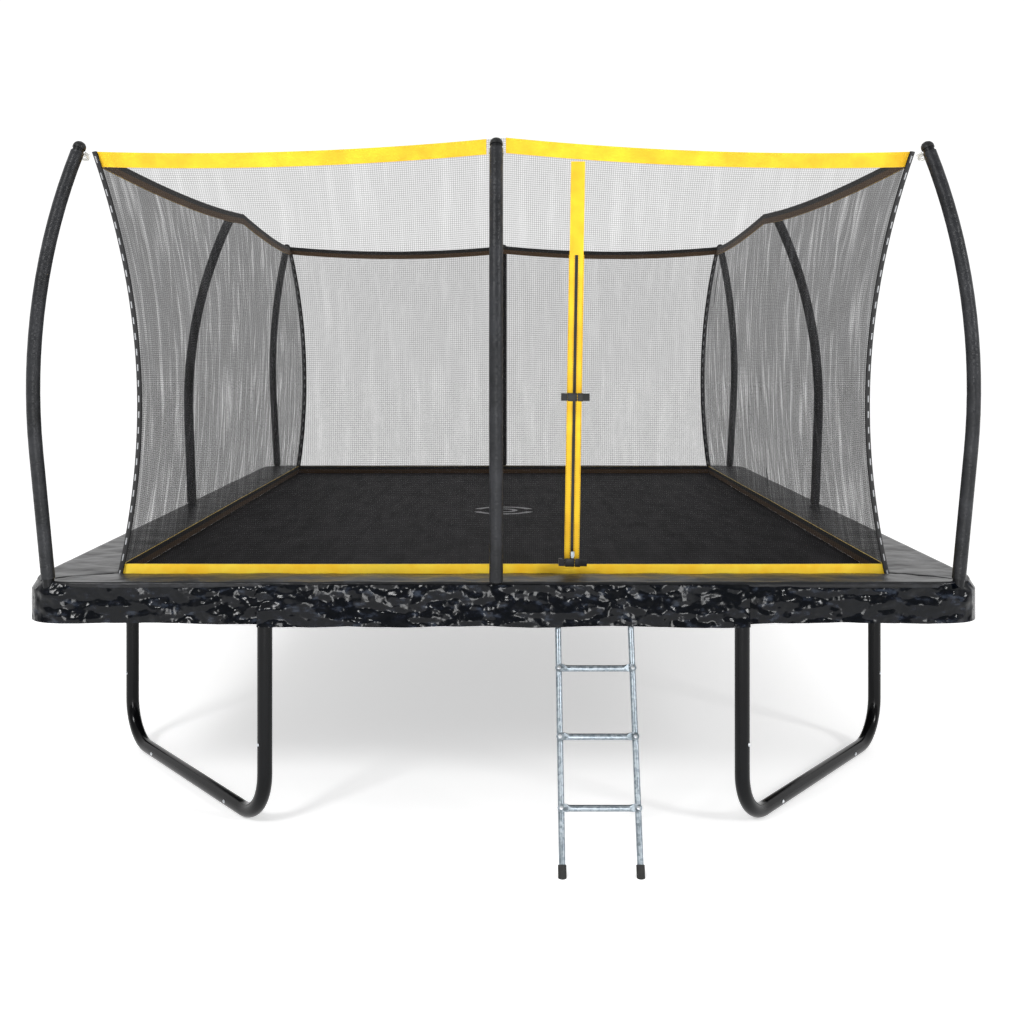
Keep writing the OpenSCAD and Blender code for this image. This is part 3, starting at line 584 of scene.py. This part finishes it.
class TRAMPOLINE_OT_stage(Builder):
    """Makes the floor, the lights and the camera"""

    bl_idname = "trampoline.stage"
    bl_label = "Stage"

    def execute(self, context):
        half = 60.0
        floor = mesh_piece(
            "floor", [(-half, -half, 0), (half, -half, 0), (half, half, 0), (-half, half, 0)],
            [(0, 1, 2, 3)], [finish_of("floor")], smooth=False)
        self.studio(context)
        for name, place, turn, size, share in (
            ("key", (-4.0, -7.5, 5.5), (57, 0, -28), 1.6, 1.0),
            ("fill", (5.5, -6.0, 3.5), (66, 0, 43), 1.2, 0.6),
            ("low", (0.0, -7.5, 0.7), (88, 0, 0), 1.5, 0.4),
        ):
            data = bpy.data.lights.new(name, "AREA")
            data.size = size
            data.energy = settings().key_light * share
            lamp = link(bpy.data.objects.new(name, data))
            lamp.location = place
            lamp.rotation_euler = Euler([math.radians(a) for a in turn])
        data = bpy.data.cameras.new("camera")
        data.sensor_width = 36.0
        data.lens = CAMERA_LENS
        data.shift_x, data.shift_y = CAMERA_SHIFT
        data.clip_end = 200.0
        camera = link(bpy.data.objects.new("camera", data))
        camera.location = (0.0, CENTRE_Y - CAMERA_BACK, CAMERA_HEIGHT)
        camera.rotation_euler = Euler((math.radians(90), 0, 0))
        context.scene.camera = camera
        context.scene.view_settings.view_transform = "Standard"
        context.scene.cycles.transparent_max_bounces = 32
        return {"FINISHED"}

    def studio(self, context):
        """A pale studio, darker behind the camera, which keeps black vinyl black. The backdrop stays even."""
        world = bpy.data.worlds.new("studio")
        world.use_nodes = True
        tree = world.node_tree
        tree.nodes.clear()
        towards = add_node(tree, "ShaderNodeTexCoord").outputs["Generated"]
        depth = add_node(tree, "ShaderNodeSeparateXYZ", {"Vector": towards}).outputs["Y"]
        shade = add_node(tree, "ShaderNodeMapRange", {"Value": depth}, {
            "From Min": -0.8, "From Max": 0.3, "To Min": 0.3, "To Max": 1.0})
        backdrop = add_node(tree, "ShaderNodeLightPath").outputs["Is Camera Ray"]
        bright = add_node(tree, "ShaderNodeMath", {0: shade.outputs[0], 1: backdrop}, operation="MAXIMUM")
        level = add_node(tree, "ShaderNodeMath", {0: bright.outputs[0]}, {1: settings().sky}, operation="MULTIPLY")
        sky = add_node(tree, "ShaderNodeBackground", {"Strength": level.outputs[0]}, {
            "Color": (1.0, 1.0, 1.0, 1.0)})
        add_node(tree, "ShaderNodeOutputWorld", {"Surface": sky.outputs[0]})
        context.scene.world = world


# ---- Frame, poles and ladder ----

class TRAMPOLINE_OT_metalwork(Builder):
    """Finishes the frame, legs, poles, ladder and their hardware"""

    bl_idname = "trampoline.metalwork"
    bl_label = "Metalwork"

    def execute(self, context):
        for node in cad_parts:
            if node.startswith(("corner_tube", "leg_", "pole_brackets")) or "_rail" in node:
                coat(node, "steel")
            elif node.startswith("pole_") and node not in ("pole_sleeves", "pole_caps"):
                coat(node, "satin")
        for node in ("ladder_rail_left", "ladder_rail_right", "ladder_rungs", "zip_slider"):
            coat(node, "galvanised")
        for node in ("frame_screws", "ladder_screws", "mat_rings"):
            coat(node, "zinc")
        coat("pole_sleeves", "sleeve")
        coat("pole_caps", "plastic")
        coat("ladder_feet", "rubber")
        coat("net_ties", "elastic")
        coat("net_clips", "gold")
        coat("buckle_straps", "black_tape")
        return {"FINISHED"}


# ---- Net ----

def net_displace(side, u, v, depth):
    """Outward height of the folds that run down from the net's corners."""
    door = max(0.0, (abs(u - DOOR_U) - 0.05) / 0.07) if side == FRONT and abs(u - DOOR_U) < 0.12 else 1.0
    rim = max(0.0, min(1.0, 12 * (1 - v - BAND_V)))
    foot = max(0.0, min(1.0, 12 * (v - BAND_V)))
    ends = max(0.0, min(1.0, (1 - abs(u)) * 14))
    shear = v * 0.55 if u > 0 else -v * 0.55
    length = 2 * WALLS[side][1]
    a = noise.noise(Vector(((u * length / 2 + shear) * 9.0, v * 1.3, side * 5.1)))
    b = noise.noise(Vector(((u * length / 2 - shear * 0.7) * 4.0, v * 0.9, side * 3.7 + 9)))
    return depth * (a + 0.6 * b) * rim * foot * ends * door


class TRAMPOLINE_OT_net(Builder):
    """Makes the four walls of the safety net"""

    bl_idname = "trampoline.net"
    bl_label = "Net walls"

    def execute(self, context):
        depth = settings().net_folds
        for side, word in enumerate(SIDES):
            half = WALLS[side][1]
            nu = int(2 * half / 0.024)
            long_side = side in (LEFT, RIGHT)
            fold_depth = depth * (1.0 if long_side else 0.45)
            grid = cloth_grid(
                nu, 60,
                lambda s, t, k=side, d=fold_depth: wall_point(
                    k, (2 * s - 1) * 0.998, t, net_displace(k, 2 * s - 1, t, d)),
                lambda s, t, h=half: ((2 * s - 1) * h, t * (NET_TOP - NET_FOOT)))
            finish = "side_net" if long_side else "net" if side == FRONT else "back_net"
            wall = cloth_piece("safety_net_" + word, grid, finish)
            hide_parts("net_" + word)
            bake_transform(wall)
        return {"FINISHED"}


def folded_band(side, u0, u1, v0, v1, outer, inner, nu):
    """A band folded over an edge of the net: points, faces, UVs and slots, slot 1 on the inner face."""
    points, uvs, faces, slots = [], [], [], []
    half = WALLS[side][1]
    rows = [(v0, outer), (v1, outer), (v1, inner), (v0, inner)]
    for i in range(nu + 1):
        u = u0 + (u1 - u0) * i / nu
        for v, lift in rows:
            points.append(wall_point(side, u, v, lift))
            uvs.append((u * half, (v - v0) / (v1 - v0) * BAND))
    for i in range(nu):
        for j in range(4):
            a, b = i * 4 + j, i * 4 + (j + 1) % 4
            faces.append((a, a + 4, b + 4, b))
            slots.append(1 if j == 2 else 0)
    faces.append((0, 1, 2, 3))
    faces.append(tuple(nu * 4 + j for j in (3, 2, 1, 0)))
    slots += [0, 0]
    return points, faces, uvs, slots


class TRAMPOLINE_OT_bands(Builder):
    """Makes the yellow bands at the top and foot of the net"""

    bl_idname = "trampoline.bands"
    bl_label = "Net bands"

    def execute(self, context):
        whole = [(side, -0.997, 0.997) for side in range(4)]
        pole_u = FRONT_POLE_X / NET_X
        parted = whole[:FRONT] + [(FRONT, -0.997, pole_u - 0.024), (FRONT, pole_u + 0.024, 0.997)]
        for name, node, v0, v1, runs in (
            ("top_band", "net_top_band", 1 - TOP_BAND_V, 1.0, parted),
            ("hem_band", "net_hem", -0.0022, HEM_V, whole),
        ):
            points, faces, uvs, slots = [], [], [], []
            for side, u0, u1 in runs:
                p, f, t, s = folded_band(side, u0, u1, v0, v1, 0.0030, -0.0018, 48)
                base = len(points)
                points += p
                faces += [tuple(i + base for i in face) for face in f]
                uvs += t
                slots += s
            cloth = finish_of("hem" if name == "hem_band" else "yellow")
            band = mesh_piece(name, points, faces, [cloth, finish_of("binding")], uvs, slots, False)
            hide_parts(node)
            if name == "hem_band":
                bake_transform(band)
            else:
                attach(band, "trampoline")
        return {"FINISHED"}


class TRAMPOLINE_OT_corner_tapes(Builder):
    """Makes the webbing over the net's four corner seams"""

    bl_idname = "trampoline.corner_tapes"
    bl_label = "Corner tapes"

    def execute(self, context):
        rows = 60
        grids = []
        for sx in (-1, 1):
            for sy in (-1, 1):
                def tape_point(s, t, sx=sx, sy=sy, lift=0.0):
                    off = corner_off(t) + lift / math.sqrt(2)
                    side = (2 * s - 1) * 0.015
                    bow = 0.002 * (1 - (2 * s - 1) ** 2)
                    x = NET_X + off + (0.003 + bow + side) / math.sqrt(2)
                    y = NET_Y + off + (0.003 + bow - side) / math.sqrt(2)
                    return Vector((sx * x, sy * y + CENTRE_Y, NET_FOOT + t * (NET_TOP - NET_FOOT)))
                for lift, turned in ((0.003, sx * sy > 0), (0.0, sx * sy < 0)):
                    grids.append(cloth_grid(
                        4, rows, lambda s, t, q=tape_point, w=lift: q(s, t, lift=w),
                        lambda s, t: ((2 * s - 1) * 0.015, t * (NET_TOP - NET_FOOT)), turned))
        tapes = cloth_piece("corner_tapes", join_grids(grids), "tape")
        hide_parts("net_corner_tapes")
        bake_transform(tapes)
        return {"FINISHED"}


# ---- Mat and springs ----

class TRAMPOLINE_OT_mat(Builder):
    """Makes the woven mat with its hemmed edge and a plain round mark"""

    bl_idname = "trampoline.mat"
    bl_label = "Mat"

    def execute(self, context):
        thick, sag = 0.003, 0.004
        hem_width, hem_thick = 0.05, 0.0006

        def mat_point(s, t, z):
            x, y = (2 * s - 1) * MAT_X, (2 * t - 1) * MAT_Y
            dip = sag * math.cos(x / MAT_X * math.pi / 2) * math.cos(y / MAT_Y * math.pi / 2)
            hem = min(MAT_X - abs(x), MAT_Y - abs(y)) < hem_width
            return Vector((x, y + CENTRE_Y, z - dip - (0.0 if hem else hem_thick)))

        def mat_uv(s, t):
            return (2 * s - 1) * MAT_X, (2 * t - 1) * MAT_Y

        nu, nv = 100, 146
        top = cloth_grid(nu, nv, lambda s, t: mat_point(s, t, MAT_Z), mat_uv)
        foot = cloth_grid(nu, nv, lambda s, t: mat_point(s, t, MAT_Z - thick), mat_uv, True)
        points, faces, uvs = join_grids([top, foot])
        row, n = nv + 1, (nu + 1) * (nv + 1)
        rim = [j for j in range(nv + 1)] + [i * row + nv for i in range(1, nu + 1)]
        rim += [nu * row + j for j in range(nv - 1, -1, -1)] + [i * row for i in range(nu - 1, 0, -1)]
        for a, b in zip(rim, rim[1:] + rim[:1]):
            faces.append((a, b, b + n, a + n))
        mat = mesh_piece("woven_mat", points, faces, [finish_of("mat")], uvs)
        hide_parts("mat")
        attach(mat, "mat")
        self.mark()
        return {"FINISHED"}

    def mark(self):
        """A broken ring round a small whole ring, 0.3 m across, printed near the middle."""
        points, faces, uvs = [], [], []
        for start, stop, near, far in ((20, 160, 0.12, 0.155), (200, 340, 0.12, 0.155), (0, 360, 0.045, 0.07)):
            steps = (stop - start) // 5
            for i in range(steps + 1):
                a = math.radians(start + (stop - start) * i / steps)
                for r in (near, far):
                    points.append((r * math.cos(a), CENTRE_Y + r * math.sin(a), MAT_Z - 0.0034))
                    uvs.append((r * math.cos(a), r * math.sin(a)))
            base = len(points) - 2 * (steps + 1)
            for i in range(steps):
                a = base + 2 * i
                faces.append((a, a + 1, a + 3, a + 2))
        mark = mesh_piece("mat_mark", points, faces, [finish_of("print")], uvs, smooth=False)
        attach(mark, "mat")


def new_group(name, inputs):
    """A Geometry Nodes tree with those inputs: the tree, its sockets' identifiers and its inputs' outputs."""
    tree = bpy.data.node_groups.new(name, "GeometryNodeTree")
    tree.interface.new_socket("Geometry", in_out="OUTPUT", socket_type="NodeSocketGeometry")
    sockets = {}
    for key, kind in inputs.items():
        socket = tree.interface.new_socket(key, in_out="INPUT", socket_type="NodeSocket" + kind)
        sockets[key] = socket.identifier
    return tree, sockets, add_node(tree, "NodeGroupInput").outputs


def end_group(tree, geometry, material):
    """Ends a tree in real geometry of one material."""
    real = add_node(tree, "GeometryNodeRealizeInstances", {"Geometry": geometry})
    done = add_node(tree, "GeometryNodeSetMaterial", {"Geometry": real.outputs[0], "Material": material})
    add_node(tree, "NodeGroupOutput", {0: done.outputs[0]})


SPRING_HOOK = 0.018


def spring_tree():
    """A row of coil springs with straight hooks at both ends, laid along Y and pointing along X."""
    tree, sockets, given = new_group("spring_row", {
        "Count": "Int", "Gap": "Float", "Turns": "Float", "Length": "Float", "Radius": "Float", "Wire": "Float",
        "Place": "Vector", "Turn": "Rotation", "Material": "Material"})
    coil = add_node(tree, "GeometryNodeCurveSpiral", {
        "Rotations": given["Turns"], "Start Radius": given["Radius"], "End Radius": given["Radius"],
        "Height": given["Length"]}, {"Resolution": 9})
    reach = add_node(tree, "ShaderNodeMath", {0: given["Length"]}, {1: SPRING_HOOK}, operation="ADD")
    near = add_node(tree, "GeometryNodeCurvePrimitiveLine", values={
        "Start": (0, 0, -SPRING_HOOK), "End": (0, 0, 0)})
    start = add_node(tree, "ShaderNodeCombineXYZ", {"Z": given["Length"]}).outputs[0]
    end = add_node(tree, "ShaderNodeCombineXYZ", {"Z": reach.outputs[0]}).outputs[0]
    far = add_node(tree, "GeometryNodeCurvePrimitiveLine", {"Start": start, "End": end})
    joined = add_node(tree, "GeometryNodeJoinGeometry", {"Geometry": coil.outputs[0]})
    for line in (near, far):
        tree.links.new(line.outputs[0], joined.inputs["Geometry"])
    half_wire = add_node(tree, "ShaderNodeMath", {0: given["Wire"]}, {1: 0.5}, operation="MULTIPLY").outputs[0]
    profile = add_node(tree, "GeometryNodeCurvePrimitiveCircle", {"Radius": half_wire}, {"Resolution": 4})
    wire = add_node(tree, "GeometryNodeCurveToMesh", {
        "Curve": joined.outputs[0], "Profile Curve": profile.outputs[0]}, {"Fill Caps": True})
    laid = add_node(tree, "GeometryNodeTransform", {"Geometry": wire.outputs[0]}, {
        "Rotation": Euler((0, math.pi / 2, 0))})
    step = add_node(tree, "ShaderNodeCombineXYZ", {"Y": given["Gap"]})
    back = add_node(tree, "ShaderNodeMath", {0: given["Count"]}, {1: -1.0}, operation="ADD").outputs[0]
    span = add_node(tree, "ShaderNodeMath", {0: back, 1: given["Gap"]}, operation="MULTIPLY").outputs[0]
    low = add_node(tree, "ShaderNodeMath", {0: span}, {1: -0.5}, operation="MULTIPLY").outputs[0]
    first = add_node(tree, "ShaderNodeCombineXYZ", {"Y": low})
    row = add_node(tree, "GeometryNodeMeshLine", {
        "Count": given["Count"], "Start Location": first.outputs[0], "Offset": step.outputs[0]})
    placed = add_node(tree, "GeometryNodeInstanceOnPoints", {
        "Points": row.outputs[0], "Instance": laid.outputs[0]})
    moved = add_node(tree, "GeometryNodeTransform", {
        "Geometry": placed.outputs[0], "Translation": given["Place"], "Rotation": given["Turn"]})
    end_group(tree, moved.outputs[0], given["Material"])
    return tree, sockets


def grown(name, tree, sockets, finish, values):
    """Runs a Geometry Nodes tree on an empty mesh and returns its result as a plain mesh."""
    source = link(bpy.data.objects.new(name + "_source", bpy.data.meshes.new(name + "_source")))
    modifier = source.modifiers.new("grow", "NODES")
    modifier.node_group = tree
    for key, value in values.items():
        modifier[sockets[key]] = value
    modifier[sockets["Material"]] = finish_of(finish)
    return plain_mesh(name, source, [finish_of(finish)])


class TRAMPOLINE_OT_springs(Builder):
    """Makes the coil springs between the mat and the frame"""

    bl_idname = "trampoline.springs"
    bl_label = "Springs"

    def execute(self, context):
        tree, sockets = spring_tree()
        for side, word in enumerate(SIDES):
            edge = MAT_X if side in (LEFT, RIGHT) else MAT_Y
            start = 0.023 + SPRING_HOOK
            stop = FRAME_X - FRAME_TUBE_R - MAT_X - 0.001 - SPRING_HOOK
            row = grown("springs_" + word, tree, sockets, "zinc", {
                "Count": 25 if side in (LEFT, RIGHT) else 17, "Gap": SPRING_GAP,
                "Turns": float(settings().spring_turns), "Length": stop - start, "Radius": 0.0085,
                "Wire": settings().spring_wire, "Place": tuple(side_point(side, edge + start, 0, SPRING_Z)),
                "Turn": (0.0, 0.0, side * math.pi / 2)})
            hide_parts("springs")
            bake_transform(row)
        return {"FINISHED"}


# ---- Pads ----

def pad_stations(side):
    """Outer (out, along) and inner along for each cut across the pad, from mitre to mitre."""
    ox, oy = (OUT_X, OUT_Y) if side in (LEFT, RIGHT) else (OUT_Y, OUT_X)
    iy = IN_Y if side in (LEFT, RIGHT) else IN_X
    arc = []
    for j in range(9):
        a = math.radians(45 - 45 * j / 8)
        arc.append((ox - CORNER_R + CORNER_R * math.cos(a), oy - CORNER_R + CORNER_R * math.sin(a),
                    iy - 0.05 * j / 8, a))
    count = int(2 * (oy - CORNER_R) / 0.022)
    straight = []
    for j in range(1, count):
        share = 1 - 2 * j / count
        straight.append((ox, (oy - CORNER_R) * share, (iy - 0.05) * share, 0.0))
    ends = [(x, -y, -i, -a) for x, y, i, a in reversed(arc)]
    return arc + straight + ends


class TRAMPOLINE_OT_pads(Builder):
    """Makes the foam pads that cover the springs"""

    bl_idname = "trampoline.pads"
    bl_label = "Pads"

    def execute(self, context):
        low = PAD_TOP - PAD_THICK
        profile = [(0.0, low), (0.0, PAD_TOP - 0.006), (0.02, PAD_TOP - 0.0015)]
        profile += [(f / 14, PAD_TOP) for f in range(1, 14)]
        profile += [(0.985, PAD_TOP - 0.001), (1.0, PAD_TOP - 0.007), (1.0, low)]
        profile += [(0.66, low), (0.33, low)]
        for side, word in enumerate(SIDES):
            ix = IN_X if side in (LEFT, RIGHT) else IN_Y
            points, uvs, faces = [], [], []
            stations = pad_stations(side)
            mitre = len(stations) - 1
            for index, (x, y, inner, _) in enumerate(stations):
                seam = math.exp(-min(index, mitre - index) / 0.8)
                for f, z in profile:
                    out = ix + 0.0015 + (x - 0.0012 - ix) * f
                    along = inner + (y - inner) * f
                    at = side_point(side, out, along, z)
                    if z > low + 0.001:
                        top = min(1.0, f * 8, (1 - f) * 8)
                        crease = 0.0035 * fold(at, 0.11, side) + 0.002 * fold(at, 0.04, side + 4)
                        across = 0.003 * noise.noise(Vector((along * 7.0, f * 1.5, side)))
                        droop = 0.013 * math.exp(-f * 4.0) * (1.0 if f > 0 else 0.9)
                        at.z += (crease + across - 0.0025) * top - 0.006 * seam * (1 - f) - droop
                    if side == FRONT and z <= low and 0.4 < f < 0.9:
                        at.z += 0.0062
                    points.append(at)
                    uvs.append((along, f * 0.239))
            row = len(profile)
            for i in range(len(stations) - 1):
                for j in range(row):
                    a, b = i * row + j, i * row + (j + 1) % row
                    faces.append((a, a + row, b + row, b))
            faces.append(tuple(range(row)))
            faces.append(tuple(mitre * row + j for j in reversed(range(row))))
            pad = mesh_piece("pad_cover_" + word, points, faces, [finish_of("pad")], uvs)
            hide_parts("pad_" + word)
            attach(pad, "trampoline")
        return {"FINISHED"}


def skirt_wave(side, base, t):
    """Outward height of the skirt's folds, and the rise of its foot, at t from 0 to 1 down it."""
    wave = fold(base, 0.09, side + 11) + 0.5 * fold(base, 0.035, side + 17)
    tilt = noise.noise(Vector((base.x * 6, base.y * 6, t * 2.5 + side)))
    return settings().skirt_folds * t * (wave + 0.6 * tilt), 0.005 * t * fold(base, 0.16, side + 23)


def skirt_grid(side, stations, rows=10):
    """The hanging skirt along some of a pad's stations. Beside the front flap it stands out as the flap does."""
    flap_low, flap_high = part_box("pad_front_flap")
    flare = flap_high[1] - flap_low[1] - 0.003
    drop = SKIRT_TOP - SKIRT_FOOT
    count = len(stations) - 1

    def skirt_point(s, t):
        x, y, _, a = stations[round(s * count)]
        base = side_point(side, x, y, 0)
        push, foot = skirt_wave(side, base, t)
        seam = math.sin(2 * abs(a))
        push = (push - 0.001) * (1 - seam) + 0.024 * seam * min(1.0, 5 * t)
        foot *= 1 - seam
        if side == FRONT:
            near = max(0.0, 1 - (abs(base.x) - flap_high[0]) / 0.45)
            push += flare * t * near * near * (3 - 2 * near)
        return side_point(side, x + push * math.cos(a), y + push * math.sin(a), SKIRT_TOP - drop * t + foot)

    return cloth_grid(count, rows, skirt_point, lambda s, t: (s * count * 0.022, t * drop))


class TRAMPOLINE_OT_skirts(Builder):
    """Makes the skirts that hang from the pads' outer edges"""

    bl_idname = "trampoline.skirts"
    bl_label = "Skirts"

    def execute(self, context):
        flap_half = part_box("pad_front_flap")[1][0]
        for side, word in enumerate(SIDES):
            stations = pad_stations(side)
            if side == FRONT:
                slit = flap_half + 0.002
                left = [s for s in stations if s[1] > slit] + [(OUT_Y, slit, slit, 0.0)]
                right = [(OUT_Y, -slit, -slit, 0.0)] + [s for s in stations if s[1] < -slit]
                grid = join_grids([skirt_grid(side, left), skirt_grid(side, right)])
            else:
                grid = skirt_grid(side, stations)
            skirt = cloth_piece("skirt_" + word, grid, "skirt")
            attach(skirt, "trampoline")
        return {"FINISHED"}


class TRAMPOLINE_OT_flap(Builder):
    """Makes the loose flap of the front skirt"""

    bl_idname = "trampoline.flap"
    bl_label = "Front flap"

    def execute(self, context):
        low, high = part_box("pad_front_flap")
        width, drop = high[0] - low[0], high[2] - low[2]

        def flap_point(s, t):
            x = low[0] + width * s
            y = high[1] - 0.003 - (high[1] - low[1] - 0.003) * t
            push, foot = skirt_wave(FRONT, side_point(FRONT, OUT_Y, x, 0), t)
            return Vector((x, y - push, high[2] - 0.001 - drop * t + foot))

        grid = cloth_grid(76, 10, flap_point, lambda s, t: (s * width, t * drop))
        flap = cloth_piece("skirt_flap", grid, "skirt")
        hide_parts("pad_front_flap")
        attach(flap, "front_skirt_flap")
        return {"FINISHED"}


# ---- Door ----

def strip_grid(left, right, low, high, lift, rows=70):
    """A strip of the door between two places across it and two heights, crowned by a millimetre."""
    return cloth_grid(
        4, rows,
        lambda s, t: door_point(left + (right - left) * s, low + (high - low) * t,
                                lift + 0.001 * math.sin(s * math.pi)),
        lambda s, t: (left + (right - left) * s, low + (high - low) * t))


def stitch_tree():
    """A column of short threads or teeth up one line."""
    tree, sockets, given = new_group("column_of_bits", {
        "Count": "Int", "Low": "Vector", "High": "Vector", "Size": "Vector", "Material": "Material"})
    line = add_node(tree, "GeometryNodeMeshLine", {
        "Count": given["Count"], "Start Location": given["Low"], "Offset": given["High"]},
        mode="END_POINTS", count_mode="TOTAL")
    bit = add_node(tree, "GeometryNodeMeshCube", {"Size": given["Size"]})
    placed = add_node(tree, "GeometryNodeInstanceOnPoints", {
        "Points": line.outputs[0], "Instance": bit.outputs[0]})
    end_group(tree, placed.outputs[0], given["Material"])
    return tree, sockets


class TRAMPOLINE_OT_door(Builder):
    """Makes the door's yellow strips, its zip tape, teeth and stitching"""

    bl_idname = "trampoline.door"
    bl_label = "Door"

    def execute(self, context):
        yellow = cloth_piece("door_strip_cloth", join_grids([
            strip_grid(-0.026, -0.0055, DOOR_FOOT, DOOR_HEAD, 0.005),
            strip_grid(0.0055, 0.026, DOOR_FOOT, DOOR_HEAD, 0.005),
            strip_grid(-0.024, 0.024, DOOR_HEAD, DOOR_TOP, 0.005, 20)]), "yellow")
        tape = cloth_piece("zip_tape", strip_grid(-0.0065, 0.0065, DOOR_FOOT, DOOR_HEAD, 0.0035), "black_tape")
        # Each column's place across the door, shift up it, lift, number of bits, their size and finish
        tooth = (0.0045, 150, (0.0034, 0.0016, 0.0034), "plastic")
        thread = (0.0062, 130, (0.0009, 0.0007, 0.005), "black_tape")
        columns = [("zip_teeth_left", -0.0016, -0.0016, *tooth), ("zip_teeth_right", 0.0016, 0.0016, *tooth)]
        for number, across in enumerate((-0.0235, -0.008, 0.008, 0.0235)):
            columns.append(("door_stitch_%d" % number, across, 0.0, *thread))
        tree, sockets = stitch_tree()
        bits = []
        for name, across, shift, lift, count, size, finish in columns:
            bits.append(grown(name, tree, sockets, finish, {
                "Count": count, "Low": tuple(door_point(across, DOOR_FOOT + 0.004 + shift, lift)),
                "High": tuple(door_point(across, DOOR_HEAD - 0.004 + shift, lift)), "Size": size}))
        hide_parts("door_strips")
        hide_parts("door_zip")
        for piece in [yellow, tape] + bits:
            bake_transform(piece)
        return {"FINISHED"}


class TRAMPOLINE_OT_buckles(Builder):
    """Rounds the two side-release buckles"""

    bl_idname = "trampoline.buckles"
    bl_label = "Buckles"

    def execute(self, context):
        for node, body in (("buckle_sockets", "trampoline"), ("upper_buckle_tongue", "upper_buckle_tongue"),
                           ("lower_buckle_tongue", "lower_buckle_tongue")):
            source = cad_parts[node]
            copy = link(bpy.data.objects.new(node + "_rounded", source.data.copy()))
            weld = copy.modifiers.new("weld", "WELD")
            weld.merge_threshold = 0.00001
            flat = copy.modifiers.new("flat", "DECIMATE")
            flat.decimate_type = "DISSOLVE"
            flat.angle_limit = math.radians(2)
            edge = copy.modifiers.new("edge", "BEVEL")
            edge.width = 0.0012
            edge.segments = 3
            edge.limit_method = "ANGLE"
            moulded = plain_mesh(node + "_moulded", copy, [])
            moulded.data.materials.clear()
            moulded.data.materials.append(finish_of("plastic"))
            for face in moulded.data.polygons:
                face.use_smooth = True
            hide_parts(node)
            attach(moulded, body)
        return {"FINISHED"}


# ---- Pole tops ----

class TRAMPOLINE_OT_pole_loops(Builder):
    """Makes the pale loops that hold the net's ties at the tops of the poles"""

    bl_idname = "trampoline.pole_loops"
    bl_label = "Pole loops"

    def execute(self, context):
        points, faces = [], []
        sleeve, down = 0.0225, -0.020
        bend = math.radians(27.9)
        reach, straight = 2.120, 0.450
        # Corner poles stand on the diagonal of the frame's bent corner, the others outside the tube
        corner_r, stand, outside = 0.110, 0.160 / math.sqrt(2), 0.05
        frame_y = OUT_Y - 0.079
        poles = []
        for sx in (-1, 1):
            for sy in (-1, 1):
                poles.append((sx * (FRAME_X - corner_r + stand), sy * (frame_y - corner_r + stand),
                              math.atan2(sy, sx), 5.6))
        poles += [(FRONT_POLE_X, -frame_y - outside, -math.pi / 2, 7.2), (0, frame_y + outside, math.pi / 2, 3.3),
                  (FRAME_X + outside, 0, 0, 2.1), (-FRAME_X - outside, 0, math.pi, 2.1)]
        for x, y, turn, tilt in poles:
            pose = (Matrix.Translation((x, y + CENTRE_Y, FRAME_TOP)) @ Matrix.Rotation(turn, 4, "Z")
                    @ Matrix.Rotation(math.radians(tilt), 4, "Y")
                    @ Matrix.Translation((-reach, 0, straight)) @ Matrix.Rotation(-bend, 4, "Y")
                    @ Matrix.Translation((reach, 0, 0)))
            base = len(points)
            around, tube = 28, 8
            for i in range(around):
                a = math.tau * i / around
                for j in range(tube):
                    b = math.tau * j / tube
                    r = sleeve + 0.0028 + 0.0026 * math.cos(b)
                    points.append(pose @ Vector((r * math.cos(a), r * math.sin(a), down + 0.005 * math.sin(b))))
            for i in range(around):
                for j in range(tube):
                    a, b = i * tube + j, i * tube + (j + 1) % tube
                    c, d = ((i + 1) % around) * tube + (j + 1) % tube, ((i + 1) % around) * tube + j
                    faces.append((base + a, base + d, base + c, base + b))
        loops = mesh_piece("pole_loops", points, faces, [finish_of("elastic")])
        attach(loops, "trampoline")
        return {"FINISHED"}


class TRAMPOLINE_PT_panel(bpy.types.Panel):
    """Lists the steps and the sizes"""

    bl_idname = "TRAMPOLINE_PT_panel"
    bl_label = "Trampoline"
    bl_space_type = "VIEW_3D"
    bl_region_type = "UI"
    bl_category = "Trampoline"

    def draw(self, context):
        for name in TrampolineSettings.__annotations__:
            self.layout.prop(context.scene.trampoline, name)
        for step in STEPS:
            self.layout.operator(step.bl_idname)


STEPS = (
    TRAMPOLINE_OT_stage, TRAMPOLINE_OT_metalwork, TRAMPOLINE_OT_net, TRAMPOLINE_OT_bands,
    TRAMPOLINE_OT_corner_tapes, TRAMPOLINE_OT_mat, TRAMPOLINE_OT_springs, TRAMPOLINE_OT_pads,
    TRAMPOLINE_OT_skirts, TRAMPOLINE_OT_flap, TRAMPOLINE_OT_door, TRAMPOLINE_OT_buckles,
    TRAMPOLINE_OT_pole_loops,
)


def register():
    bpy.utils.register_class(TrampolineSettings)
    for step in STEPS:
        bpy.utils.register_class(step)
    bpy.utils.register_class(TRAMPOLINE_PT_panel)
    bpy.types.Scene.trampoline = bpy.props.PointerProperty(type=TrampolineSettings)


def unregister():
    del bpy.types.Scene.trampoline
    bpy.utils.unregister_class(TRAMPOLINE_PT_panel)
    for step in reversed(STEPS):
        bpy.utils.unregister_class(step)
    bpy.utils.unregister_class(TrampolineSettings)


def main():
    register()
    for step in STEPS:
        group, name = step.bl_idname.split(".")
        getattr(getattr(bpy.ops, group), name)()


if __name__ == "__main__":
    main()
